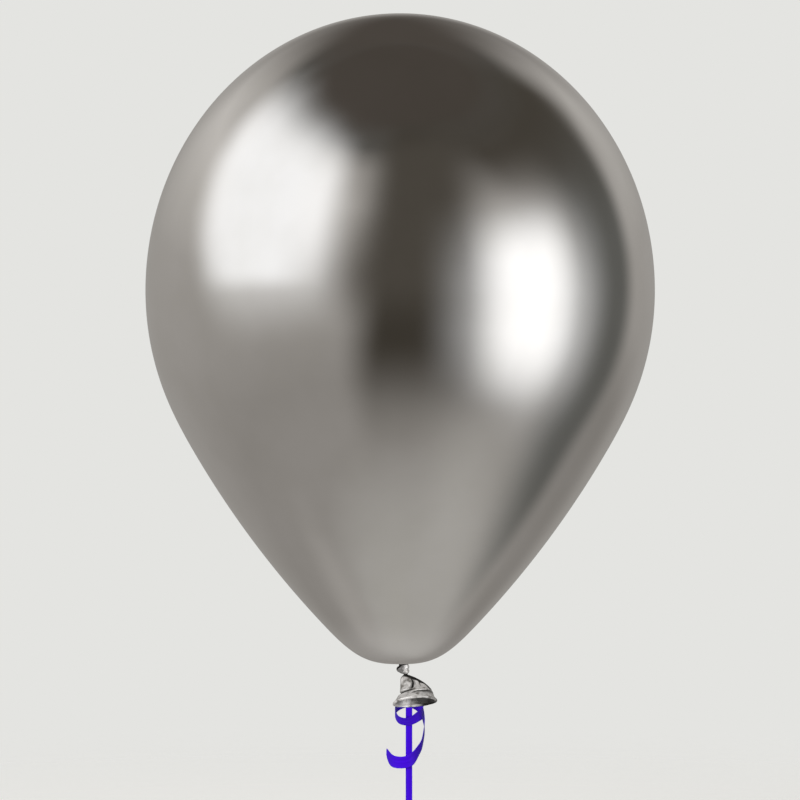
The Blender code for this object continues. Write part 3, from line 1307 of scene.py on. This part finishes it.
@dataclass
class NeckTail(SubAssembly):
    """The loose end of the neck below the knot, pleated and flared to its rolled mouth."""

    sides: int = 280
    rings: int = 198
    wall_mm: float = 0.45

    # The inner wall starts at this share of the length, with one ring for so many outer ones.
    inner_from: float = 0.16
    inner_every: int = 3

    # Columns in mm and degrees: drop, left edge, right edge, middle's depth, half depth, tip.
    sections: tuple[tuple[float, ...], ...] = (
        (0.0, 2.0, 4.9, 0.0, 1.3, 0.0),
        (1.8, 0.4, 9.4, -0.5, 3.4, 2.0),
        (4.6, 0.2, 14.2, -1.5, 5.8, 5.0),
        (7.5, 0.3, 17.4, -2.7, 8.2, 8.0),
        (10.1, 0.2, 18.9, -3.9, 10.2, 11.0),
        (12.5, -2.0, 19.9, -5.0, 11.7, 14.0),
        (14.5, -4.0, 21.3, -6.0, 12.7, 17.0),
    )
    roll_degrees: float = 4.8

    # The full column at the left, the deep valley beside it, then the fan's ridges and valleys
    # round to the right edge, and plainer folds round the back.
    folds: tuple[Fold, ...] = (
        Fold(238.0, 214.0, 30.0, 0.10, 0.02, 0.66),
        Fold(300.0, 251.0, 8.5, -0.44, 0.06, 0.57),
        Fold(313.0, 265.0, 4.0, -0.20, 0.10, 0.48),
        Fold(321.0, 274.0, 7.0, 0.09, 0.10, 0.58),
        Fold(336.0, 292.0, 7.0, -0.34, 0.08, 0.46),
        Fold(345.0, 312.0, 13.0, 0.08, 0.14, 0.62),
        Fold(356.0, 338.0, 6.0, -0.12, 0.10, 0.60),
        Fold(263.0, 263.0, 6.0, -0.14, 0.64, 0.80),
        Fold(30.0, 30.0, 12.0, -0.20, 0.05, 0.64),
        Fold(75.0, 80.0, 12.0, -0.26, 0.05, 0.66),
        Fold(120.0, 125.0, 12.0, -0.22, 0.05, 0.64),
        Fold(158.0, 160.0, 10.0, -0.14, 0.05, 0.62),
    )
    # The creases above the skirt: the left one falls to the left edge, the right one runs on
    # round the back. Each one has its place as a share of the length at angles in degrees.
    left_crease: tuple[Pair, ...] = ((170.0, 0.70), (215.0, 0.665), (258.0, 0.575))
    right_crease: tuple[Pair, ...] = ((256.0, 0.72), (276.0, 0.665), (360.0, 0.64))

    # The crease and the swollen film above and below it: place, width and height, as shares.
    crease_parts: tuple[Triple, ...] = (
        (0.0, 0.026, -0.11),
        (-0.07, 0.04, 0.045),
        (0.07, 0.04, 0.03),
    )
    # The degrees between which the left crease shows, and between which the right one doesn't.
    left_shows: tuple[float, ...] = (150.0, 172.0, 256.0, 266.0)
    right_hides: tuple[float, ...] = (140.0, 160.0, 252.0, 262.0)

    # The right crease is shallower here: the place and width in degrees, and by how much.
    eased: Triple = (-5.0, 22.0, 0.6)

    # The slack film's unevenness: its height, its waves round and along the tail and how fine
    # they are, and how much calmer the skirt is, from a share of the length on.
    uneven: float = 0.016
    uneven_waves: Triple = (2.4, 1.6, 2.1)
    calmer: float = 0.7
    calm_from: float = 0.7

    # Painted shade in folds and creases: how deep a fold and a crease are where it starts, and
    # where it is darkest.
    fold_dark: Pair = (0.10, 0.32)
    crease_dark: Pair = (0.015, 0.075)

    # The painted shade under each crease: how far under it and how wide, as shares of the length,
    # and between which degrees. The right one isn't as dark.
    under_left: Pair = (0.012, 0.042)
    under_left_shows: tuple[float, ...] = (160.0, 180.0, 250.0, 262.0)
    under_right: Pair = (0.05, 0.07)
    under_right_from: Pair = (262.0, 300.0)
    under_right_dark: float = 0.62

    # Painted shade on the skirt: how dark, and between which shares of the length.
    skirt_dark: float = 0.15
    skirt_shows: tuple[float, ...] = (0.66, 0.74, 0.90, 0.97)

    # The painted shade along the right edge: its width at the top and at the crease and where it
    # changes, how much of it is fully dark, where it ends, and where it fades behind.
    edge_mm: Pair = (5.0, 1.9)
    edge_narrows: Pair = (0.45, 0.05)
    edge_full: float = 0.6
    edge_ends: Pair = (0.56, 0.64)
    edge_behind: Pair = (-14.0, 20.0)

    # Painted shade: the thin dark line along the left edge, at the top, and the dark band at the
    # tail's top, under the knot.
    left_dark: float = 0.7
    left_mm: Pair = (0.2, 0.7)
    left_ends: Pair = (0.2, 0.36)
    shade_under_knot_ends: float = 0.07

    # The painted shade inside the neck: how dark at the left, how much more at the right, and where
    # that changes, as cosines of the angle.
    inside_dark: Pair = (0.36, 0.59)
    inside_turns: Pair = (-0.4, 0.25)

    # How far the mouth's left and right ends hang below its plane, from which share of the
    # length on, and how sharply.
    droop_mm: Pair = (0.6, 0.4)
    droop_from: float = 0.62
    droop_bends: float = 2.5

    def section(self, share: float) -> Vector:
        """Read the sections smoothly at a share of the tail's length."""
        rows = [Vector(row) for row in self.sections]
        return catmull_at(rows, share * (len(rows) - 1))

    def droop(self, angle: float, share: float) -> float:
        """Give how far a point of the skirt hangs down.

        Args:
            angle: round the tail.
            share: how far down its length.

        Returns:
            The distance in metres.
        """
        side = math.cos(angle)
        most = self.droop_mm[1] if side > 0 else self.droop_mm[0]
        reach = smooth(share, self.droop_from, 1.0)
        return most * MM * abs(side) ** self.droop_bends * reach

    def ring(self, top: float, share: float, inset: float) -> list[Vector]:
        """Give one ring of the tail.

        Args:
            top: the height of the tail's upper end.
            share: how far down its length the ring is.
            inset: how far inside the outer face it lies.

        Returns:
            The ring's points.
        """
        drop, left, right, middle, half_depth, tip = self.section(share)
        centre = Vector(((left + right) / 2 * MM, middle * MM, top - drop * MM))
        roll = -self.roll_degrees * tip / self.sections[-1][-1]
        tipped = (
            Matrix.Rotation(math.radians(roll), 3, "Y")
            @ Matrix.Rotation(math.radians(-tip), 3, "X")
        )
        points = []
        for angle in turn_angles(self.sides):
            fold = 1.0 + sum(self.relief(math.degrees(angle), share))
            width = (right - left) / 2 * MM * fold - inset
            depth = half_depth * MM * fold - inset
            place = Vector((width * math.cos(angle), depth * math.sin(angle), 0))
            points.append(centre + tipped @ place - Vector((0, 0, self.droop(angle, share))))
        return points

    def relief(self, degrees: float, share: float) -> Triple:
        """Give the surface's relief, as shares of the radius.

        Args:
            degrees: the angle round the tail.
            share: how far down its length.

        Returns:
            The folds, the crease above the skirt, and the slack film's unevenness.
        """
        angle = math.radians(degrees)
        folds = sum(one.height(degrees, share) for one in self.folds)
        on_left = window(degrees, self.left_shows)
        on_right = 1.0 - window(degrees, self.right_hides)
        place, width, least = self.eased
        on_right *= 1.0 - least * bell(half_turn(degrees) - place, width)
        crease = 0.0
        for line, shown in ((self.left_crease, on_left), (self.right_crease, on_right)):
            apart = share - read_line(line, degrees)
            for at, width, height in self.crease_parts:
                crease += shown * height * bell(apart - at, width)
        round_it, along, fine = self.uneven_waves
        way = Vector((math.cos(angle) * round_it, math.sin(angle) * round_it, share * along))
        calm = 1.0 - self.calmer * smooth(share, self.calm_from, 1.0)
        uneven = self.uneven * noise.noise(way * fine) * calm
        return folds, crease, uneven

    def shades(self, share: float) -> list[float]:
        """Give the painted shade of an outer ring's film.

        Args:
            share: how far down the tail's length the ring is.

        Returns:
            How deep in a fold each of its points lies, from 0 on open film to 1.
        """
        left, right = self.section(share)[1:3]
        half = (right - left) / 2
        low_edge = self.edge_mm[1]
        wide = low_edge + (self.edge_mm[0] - low_edge) * smooth(share, *self.edge_narrows)
        shade_under_knot = 1.0 - smooth(share, 0.0, self.shade_under_knot_ends)
        made = []
        for angle in turn_angles(self.sides):
            degrees = math.degrees(angle)
            folds, crease, _ = self.relief(degrees, share)
            deep = smooth(-folds, *self.fold_dark) + smooth(-crease, *self.crease_dark)

            # Painted shade under the creases: below the column the crease's lower side is dark too,
            # under the right crease less so, and the skirt a little.
            below, width = self.under_left
            under = bell(share - read_line(self.left_crease, degrees) - below, width)
            under *= window(degrees, self.under_left_shows)
            below, width = self.under_right
            beyond = bell(share - read_line(self.right_crease, degrees) - below, width)
            under += self.under_right_dark * beyond * smooth(degrees, *self.under_right_from)
            under += self.skirt_dark * window(share, self.skirt_shows)

            # Painted shade along the fan's right edge, along the left edge at the top, and at the
            # tail's top under the knot.
            from_right = half * (1 - math.cos(angle))
            edge = 1.0 - smooth(from_right, self.edge_full * wide, wide)
            edge *= 1.0 - smooth(share, *self.edge_ends)
            edge *= 1.0 - smooth(half_turn(degrees), *self.edge_behind)
            from_left = 1.0 - smooth(half * (1 + math.cos(angle)), *self.left_mm)
            edge += self.left_dark * from_left * (1.0 - smooth(share, *self.left_ends))
            made.append(min(max(deep, under, edge, shade_under_knot), 1.0))
        return made

    def inside_shades(self) -> list[float]:
        """Give the painted shade of a ring of the inner wall: darker on the right, as if light
        reached it from the left.

        Returns:
            The same as shades gives.
        """
        least, more = self.inside_dark
        angles = turn_angles(self.sides)
        return [least + more * smooth(math.cos(one), *self.inside_turns) for one in angles]

    def build(self) -> None:
        """Make and dress the tail."""
        _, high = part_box("neck_tail")
        wall = self.wall_mm * MM
        shares = [number / self.rings for number in range(self.rings + 1)]
        outer = [self.ring(high.z, share, 0.0) for share in shares]
        inner = [
            self.ring(high.z, share, wall)
            for share in shares[:: self.inner_every]
            if share > self.inner_from
        ]
        piece = grid_mesh("neck_tail_flare", outer + inner[::-1], caps=True)
        rings = [self.shades(share) for share in shares]
        rings += [self.inside_shades() for _ in inner]
        shade_points(piece, [one for ring in rings for one in ring])
        self.dress(piece, "neck_tail")

    def rim(self) -> list[Vector]:
        """Give the middle of the wall round the mouth."""
        _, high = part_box("neck_tail")
        return self.ring(high.z, 1.0, self.wall_mm / 2 * MM)


@dataclass
class RolledLip(SubAssembly):
    """The rolled bead round the mouth: the film's edge turned on itself a few times."""

    tail: NeckTail
    radius_mm: float = 0.75
    sunk_mm: float = 0.15
    sides: int = 20

    # The bead is a little uneven: its swellings as height, count and phase, then the count, the
    # turns and the height of its rolls, and the most that both make of its radius.
    swellings: tuple[tuple[float, int, float], ...] = ((0.05, 7, 0.6), (0.04, 13, 0.0))
    rolls: int = 3
    turns: int = 9
    roll: float = 0.05
    most: float = 1.08

    # Painted shade: dark on the right, and less so in front, by cosines and sines of the angle.
    dark_right: Pair = (-0.1, 0.45)
    dark_behind: Pair = (-0.5, 0.2)
    dark_front: float = 0.3

    def build(self) -> None:
        """Make and dress the bead."""
        rim = self.tail.rim()
        centre = sum(rim, Vector()) / len(rim)
        quarter = len(rim) // 4
        normal = (rim[0] - centre).cross(rim[quarter] - centre).normalized()
        below = -normal if normal.z > 0 else normal
        radius = self.radius_mm * MM
        rows, shades = [], []
        for point, along in zip(rim, turn_angles(len(rim))):
            middle = point + below * (radius - self.sunk_mm * MM)
            out = (point - centre).normalized()
            swell = 1.0 + sum(
                high * math.sin(count * along + phase) for high, count, phase in self.swellings
            )
            ring = []
            for angle in turn_angles(self.sides):
                roll = 1.0 + self.roll * math.cos(self.rolls * angle - self.turns * along)
                reach = radius * min(swell * roll, self.most)
                ring.append(middle + reach * (out * math.cos(angle) + below * math.sin(angle)))
            rows.append(ring)

            # Painted shade: the bead is darker on the right.
            dark = smooth(math.cos(along), *self.dark_right)
            dark *= max(smooth(math.sin(along), *self.dark_behind), self.dark_front)
            shades += [dark] * self.sides
        piece = grid_mesh("neck_rolled_lip", rows, closed=True)
        shade_points(piece, shades)
        self.dress(piece, "rolled_lip")


# The ribbon


@dataclass
class OnRibbon(SubAssembly):
    """What the sub-assemblies that swing with the ribbon have."""

    body: ClassVar[Body] = Body.RIBBON
    slot: ClassVar[Slot] = Slot.FILM


@dataclass(frozen=True)
class RibbonStock:
    """The ribbon as it comes off its reel, and how it is gathered at the tie."""

    width_mm: float = 7.0
    thick_mm: float = 0.14
    rib_mm: float = 0.035
    ribs: int = 7
    gathered_mm: float = 1.8
    gathered_above_mm: float = -227.5
    open_below_mm: float = -236.0

    def opened(self, z: float, width: float) -> float:
        """Give the ribbon's width, from gathered at the tie to full.

        Args:
            z: the height.
            width: the full width.

        Returns:
            The width in metres there.
        """
        high, low = self.gathered_above_mm * MM, self.open_below_mm * MM
        least = self.gathered_mm * MM
        return least + (width - least) * min(max((high - z) / (high - low), 0.0), 1.0)

    def ribbed(self, width: float, middle: float = 0.0, parts: int = 4) -> list[Pair]:
        """Give the film's middle line with its lengthwise ribs.

        Args:
            width: of the film here.
            middle: how far the film's middle is from the route, across it.
            parts: how many pieces each rib is cut into.

        Returns:
            The line's points across and out, in metres.
        """
        count = self.ribs * parts
        high = self.rib_mm * MM
        shares = [number / count for number in range(count + 1)]
        return [
            (middle + width * (share - 0.5), high * math.cos(math.tau * self.ribs * share))
            for share in shares
        ]

    def section(
        self,
        centre: Vector,
        along: Vector,
        across: Vector,
        line: Line,
        thick_mm: float | None = None,
    ) -> list[Vector]:
        """Give the closed outline of a bent film's cross-section.

        Args:
            centre: the section's place on the route.
            along: the route's direction.
            across: the direction of the section's first axis.
            line: the film's middle line as points across and out, in metres.
            thick_mm: the film's thickness, where it isn't the ribbon's own.

        Returns:
            The points round the section.
        """
        thick = (thick_mm or self.thick_mm) * MM
        normal = along.cross(across).normalized()
        side = normal.cross(along).normalized()
        ends = [line[0], *line, line[-1]]
        front, back = [], []
        for (x, y), before, after in zip(line, ends, ends[2:]):
            dx, dy = after[0] - before[0], after[1] - before[1]
            size = math.hypot(dx, dy)
            nx, ny = -dy / size * thick / 2, dx / size * thick / 2
            front.append(centre + side * (x + nx) + normal * (y + ny))
            back.append(centre + side * (x - nx) + normal * (y - ny))
        return front + back[::-1]


@dataclass
class Tether(OnRibbon):
    """The ribbon's straight stretch, folded in half lengthwise by its pull."""

    stock: RibbonStock
    steps: int = 10
    folded_mm: float = 3.95

    # Half the room in the fold, how far the front and the back layer swell, how high the front
    # layer's own unevenness is and how many radians it runs through, and what share of the
    # room the back layer closes.
    fold_mm: float = 0.24
    swell_mm: Pair = (0.28, 0.06)
    uneven_mm: float = 0.03
    uneven_waves: float = 9.0
    closes: float = 0.35

    # The back layer is shorter, as a share of the width: how much, and by how much that varies
    # along it, with a wave that runs through a radian in so many mm.
    short: Pair = (0.10, 0.04)
    short_wave_mm: float = 9.0

    # How many points each layer and the fold have.
    layer_points: int = 12
    fold_points: int = 6

    # The route from the tie's knot to where it hangs straight, in mm.
    points_mm: tuple[Triple, ...] = (
        (2.1, 4.4, -221.2),
        (2.7, 5.7, -224.0),
        (3.2, 6.9, -227.6),
        (4.2, 7.9, -232.4),
        (5.0, 8.25, -238.0),
        (5.2, 8.3, -243.0),
        (5.2, 8.3, -262.0),
        (5.2, 8.3, -284.0),
        (5.2, 8.3, -305.0),
    )

    def corners(self) -> list[Vector]:
        """Give the route's points in metres."""
        return [Vector(point) * MM for point in self.points_mm]

    def folded(self, width: float, run: float) -> list[Pair]:
        """Give the folded film's middle line: the front layer, the fold and the back layer.

        Args:
            width: of the folded ribbon here.
            run: the length run from the tie, in metres.

        Returns:
            The line's points across and out, in metres.
        """
        half = width / 2 - self.stock.thick_mm * MM / 2
        apart = self.fold_mm * MM
        front, back = (swell * MM for swell in self.swell_mm)
        shares = [number / self.layer_points for number in range(self.layer_points + 1)]
        line = []
        for share in shares:
            x = -half + (2 * half - apart) * share
            uneven = self.uneven_mm * MM * math.sin(self.uneven_waves * share)
            line.append((x, -apart - (front * math.sin(math.pi * share) + uneven)))
        for number in range(1, self.fold_points):
            angle = -math.pi / 2 + math.pi * number / self.fold_points
            line.append((half - apart + apart * math.cos(angle), apart * math.sin(angle)))
        less, wave = self.short
        short = less + wave * math.sin(run / (self.short_wave_mm * MM))
        for share in shares:
            x = half - apart - (2 * half - apart - width * short) * share
            room = apart * (1.0 - self.closes * share)
            line.append((x, room + back * math.sin(math.pi * share)))
        return line

    def build(self, pieces: Sequence[Piece]) -> None:
        """Args:
            pieces: what is on its lower end. It is not used.
        """
        route = catmull(self.corners(), self.steps)
        runs = run_lengths(route)
        rows = []
        for point, way, run in zip(route, tangents(route), runs):
            line = self.folded(self.stock.opened(point.z, self.folded_mm * MM), run)
            rows.append(self.stock.section(point, way, Vector((1, 0, 0)), line))
        piece = grid_mesh("ribbon_tether_folded", rows, caps=True)
        self.dress(piece, "ribbon_tether")


@dataclass
class Curl(OnRibbon):
    """The ribbon's free end, drawn over a blade so that it curls, loosely round the tether."""

    stock: RibbonStock
    tether: Tether
    steps: int = 10

    # The ribbon lies flat to the right on the lead's first points, then turns to its curl.
    flat_points: int = 2

    # The slanted cut's length along the ribbon, and the width left at the tip as a share.
    cut_mm: float = 10.0
    tip_share: float = 0.10

    # The route out from the tie's knot, in mm.
    lead_mm: tuple[Triple, ...] = (
        (2.4, 5.4, -221.0),
        (2.8, 6.8, -223.3),
        (3.1, 8.3, -226.6),
        (4.6, 9.6, -230.2),
        (7.4, 11.2, -233.6),
        (10.4, 12.0, -237.8),
        (11.8, 11.8, -243.2),
    )
    # The turns round the tether: degrees round, radius and height in mm, tilt of the turn's axis
    # toward the camera in degrees.
    turns: tuple[tuple[float, float, float, float], ...] = (
        (-3.0, 8.2, -249.2, 12.0),
        (-45.0, 8.2, -251.4, 20.0),
        (-90.0, 8.2, -254.4, 44.0),
        (-135.0, 8.3, -253.6, 48.0),
        (-180.0, 8.2, -249.6, 40.0),
        (-225.0, 8.5, -246.2, 28.0),
        (-270.0, 9.0, -244.3, 18.0),
        (-315.0, 9.2, -247.6, 15.0),
        (-352.0, 9.2, -255.8, 18.0),
        (-380.0, 8.9, -265.0, 32.0),
        (-408.0, 9.0, -270.8, 28.0),
        (-450.0, 10.4, -277.4, 4.0),
        (-495.0, 12.4, -278.0, 0.0),
        (-534.0, 14.0, -274.0, 0.0),
    )

    def axis(self, tilt: float) -> Vector:
        """Give the axis of a turn that is tilted from upright toward the camera."""
        lean = math.radians(tilt)
        return Vector((0.0, -math.sin(lean), math.cos(lean)))

    def route(self) -> tuple[list[Vector], list[Vector]]:
        """Give the curl's centre line and which way the ribbon's width runs.

        Returns:
            The points in metres, and at each the direction that the width leans to: to the right
            beside the tether, and along the turn's axis from the first turn on.
        """
        points = [Vector(point) * MM for point in self.lead_mm]
        count = len(points)
        first = self.axis(self.turns[0][3])
        aims = []
        for number in range(count):
            share = max(number - self.flat_points, 0) / (count - self.flat_points)
            aims.append(Vector((1, 0, 0)).lerp(first, share))
        hang = self.tether.corners()[-1]
        for turn, radius, z, tilt in self.turns:
            angle, out = math.radians(turn), radius * MM
            x, y = hang.x + out * math.cos(angle), hang.y + out * math.sin(angle)
            points.append(Vector((x, y, z * MM)))
            aims.append(self.axis(tilt))
        return catmull(points, self.steps), catmull(aims, self.steps)

    def build(self) -> None:
        route, aims = self.route()
        runs = run_lengths(route)
        rows = []
        for point, way, aim, run in zip(route, tangents(route), aims, runs):
            across = (aim - way * aim.dot(way)).normalized()
            left = min((runs[-1] - run) / (self.cut_mm * MM), 1.0)
            rounded = math.sqrt(1.0 - (1.0 - left) ** 2)
            cut = self.tip_share + (1 - self.tip_share) * rounded
            wide = self.stock.opened(point.z, self.stock.width_mm * MM)
            line = self.stock.ribbed(wide * cut, wide * (1 - cut) / 2)
            rows.append(self.stock.section(point, way, across, line))
        piece = grid_mesh("ribbon_curl_turns", rows, caps=True)
        self.dress(piece, "ribbon_curl")
        LOG.info("curl is %.1f mm long", runs[-1] / MM)


@dataclass(frozen=True)
class CrossedStrand:
    """A strand of the film knotted over itself: the small knots at the tie and at the end.

    Its sizes are shares of the knot's half height, before it is stretched to fill its box.
    """

    steps: int = 132
    sides: int = 24
    wide: float = 0.36
    thick: float = 0.17
    depth: float = 0.62
    ribs: int = 8
    rib_height: float = 0.10
    face_toward: Triple = (0.05, 1.0, 0.1)

    def make(self, name: str, low: Vector, high: Vector) -> Piece:
        """Make the knot so that it fills a box.

        Args:
            name: the piece's name.
            low: the box's lowest corner.
            high: its highest corner.

        Returns:
            The knot, not yet dressed.
        """
        route = []
        for t in turn_angles(self.steps):
            x = (math.sin(t) + 2 * math.sin(2 * t)) / 3
            z = (math.cos(t) - 2 * math.cos(2 * t)) / 3
            route.append(Vector((x, -math.sin(3 * t) * self.depth / 2, z)))
        rows = []
        for number, point in enumerate(route):
            way = (route[(number + 1) % self.steps] - route[number - 1]).normalized()
            side = way.cross(Vector(self.face_toward)).normalized()
            up = way.cross(side)
            ring = []
            for angle in turn_angles(self.sides):
                rib = 1.0 + self.rib_height * math.cos(self.ribs * angle)
                across = side * self.wide * math.cos(angle)
                ring.append(point + (across + up * self.thick * math.sin(angle)) * rib)
            rows.append(ring)
        piece = grid_mesh(name, rows, closed=True)
        fit_to(piece, low, high)
        return piece


@dataclass
class Tie(SubAssembly):
    """The ribbon's turns round the throat above the knot, with the tie's own small knot."""

    slot: ClassVar[Slot] = Slot.FILM

    turns: int = 3
    steps: int = 72
    sides: int = 12

    # The gathered strand: its half height, how flat it is, and how many half heights under the
    # solid's top its turns are. Then how far they climb in all, how far inside the solid they
    # lie, and how they sway in and out and are creased.
    strand_mm: float = 0.42
    flatness: float = 0.75
    under_top: float = 1.9
    climb_mm: float = 1.1
    inward_mm: float = 0.10
    sway_mm: float = 0.08
    sways: float = 5.0
    crease: float = 0.12
    creases: tuple[int, int] = (4, 3)

    # The tie's knot in mm: its middle and its half sizes.
    knot_mm: Triple = (2.0, 3.8, -219.7)
    knot_half_mm: Triple = (1.5, 1.2, 1.2)

    def build(self) -> None:
        """Make and dress the tie and its knot."""
        low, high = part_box("ribbon_tie")
        strand = self.strand_mm * MM
        ring_z = high.z - strand * self.under_top
        many, twist = self.creases
        rows = []
        count = self.turns * self.steps
        for step in range(count + 1):
            share = step / count
            angle = math.tau * self.turns * share + math.pi / 2
            sway = self.sway_mm * MM * math.sin(self.sways * angle)
            radius = -low.x - strand - self.inward_mm * MM + sway
            z = ring_z + (share - 0.5) * self.climb_mm * MM
            middle = Vector((radius * math.cos(angle), radius * math.sin(angle), z))
            out = Vector((math.cos(angle), math.sin(angle), 0.0)) * strand * self.flatness
            up = Vector((0, 0, 1)) * strand
            ring = []
            for turn in turn_angles(self.sides):
                crease = 1.0 + self.crease * math.cos(many * turn + twist * angle)
                ring.append(middle + out * crease * math.cos(turn) + up * crease * math.sin(turn))
            rows.append(ring)
        wraps = grid_mesh("ribbon_tie_wraps", rows, caps=True)
        middle, half = Vector(self.knot_mm) * MM, Vector(self.knot_half_mm) * MM
        knot = CrossedStrand().make("ribbon_tie_knot", middle - half, middle + half)
        self.dress(knot, "ribbon_tie")
        self.dress(wraps, "ribbon_tie")


@dataclass
class EndKnot(OnRibbon):
    """The small knot under the tether: the ribbon crossed over itself and pulled flat."""

    # How far it reaches over the ends of the tether and of the loop.
    overlap_mm: float = 0.7

    # The folded strand that is pulled through it, from the top down: half its width and its
    # thickness as a share of that.
    pulled_mm: tuple[float, ...] = (1.75, 1.7, 1.6, 1.5, 1.5)
    flatness: float = 0.4
    sides: int = 24

    def build(self) -> Piece:
        """Make and dress the end knot.

        Returns:
            The knot's object.
        """
        low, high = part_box("ribbon_end_knot")
        over = Vector((0, 0, self.overlap_mm * MM))
        top, bottom = high + over, low - over
        centre = (low + high) / 2
        knot = CrossedStrand().make("ribbon_end_knot_wraps", bottom, top)
        spans = len(self.pulled_mm) - 1
        route = [
            Vector((centre.x, centre.y, top.z + (bottom.z - top.z) * number / spans))
            for number in range(spans + 1)
        ]
        radii = [half * MM for half in self.pulled_mm]
        strand = tube("ribbon_end_knot_core", route, radii, self.sides)
        for vert in strand.data.vertices:
            vert.co.y = centre.y + (vert.co.y - centre.y) * self.flatness
        return self.dress(join([knot, strand]), "ribbon_end_knot")


@dataclass
class EndLoop(OnRibbon):
    """The short loop under the end knot, where a hand or a weight holds the ribbon."""

    stock: RibbonStock
    steps: int = 96

    # Half the gap between its ends, how far it bellies out, and how thick its two layers are.
    start_mm: float = 1.3
    belly: float = 1.22
    belly_low: float = 1.5
    thick_mm: float = 0.3

    def build(self) -> Piece:
        """Make and dress the loop.

        Returns:
            The loop's object.
        """
        low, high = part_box("ribbon_end_loop")
        middle, size = (low + high) / 2, high - low
        half = (high.x - low.x) / 2
        route = []
        for step in range(self.steps + 1):
            angle = math.tau * step / self.steps
            swell = math.sin(angle / 2) ** self.belly_low
            x = -self.start_mm * MM * math.cos(angle / 2)
            x -= half * self.belly * math.sin(angle) * swell
            z = high.z - size.z * (1 - math.cos(angle)) / 2
            route.append(Vector((middle.x + x, middle.y, z)))
        line = self.stock.ribbed(size.y, parts=2)
        rows = [
            self.stock.section(point, way, Vector((0, 1, 0)), line, self.thick_mm)
            for point, way in zip(route, tangents(route))
        ]
        piece = grid_mesh("ribbon_end_loop_folded", rows, caps=True)
        return self.dress(piece, "ribbon_end_loop")


def main() -> None:
    """Build the studio, the ribbon and the balloon, and report each piece."""
    logging.basicConfig(level=logging.INFO, format="%(name)s: %(message)s")
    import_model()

    studio = Studio()
    studio.place_camera()
    studio.light_world()
    studio.hang_fill_lamp()

    film = CurlingRibbonFilm().material()
    stock = RibbonStock()
    tether = Tether(film, stock)
    end_knot = EndKnot(film).build()
    end_loop = EndLoop(film, stock).build()
    tether.build([end_knot, end_loop])
    Curl(film, stock, tether).build()
    Tie(film).build()

    blown = ChromeLatex(dull_by=0.13, satin_by=0.13).material()
    # The slack and knotted film take a dark painted shade tint in their folds, creases and neck.
    slack = ChromeLatex(
        name="chrome_latex_slack",
        deep_tint="#86827D",
        painted_shade_tint="#2A2927",
        metallic=0.5,
        roughness=0.2,
        mottle_mm=4.2,
        mottle_range=(0.46, 0.66),
        wrinkle_mm=2.2,
        wrinkle_strength=0.3,
    ).material()
    knotted = ChromeLatex(
        name="chrome_latex_knotted",
        deep_tint="#A8A49E",
        painted_shade_tint="#242322",
        metallic=0.6,
        roughness=0.17,
        mottle_mm=3.4,
        mottle_range=(0.52, 0.7),
        wrinkle_mm=1.8,
        wrinkle_strength=0.2,
    ).material()
    Envelope(blown).build()
    NeckKnot(knotted).build()
    tail = NeckTail(slack)
    tail.build()
    RolledLip(slack, tail).build()
    studio.lay_floor()


if __name__ == "__main__":
    main()
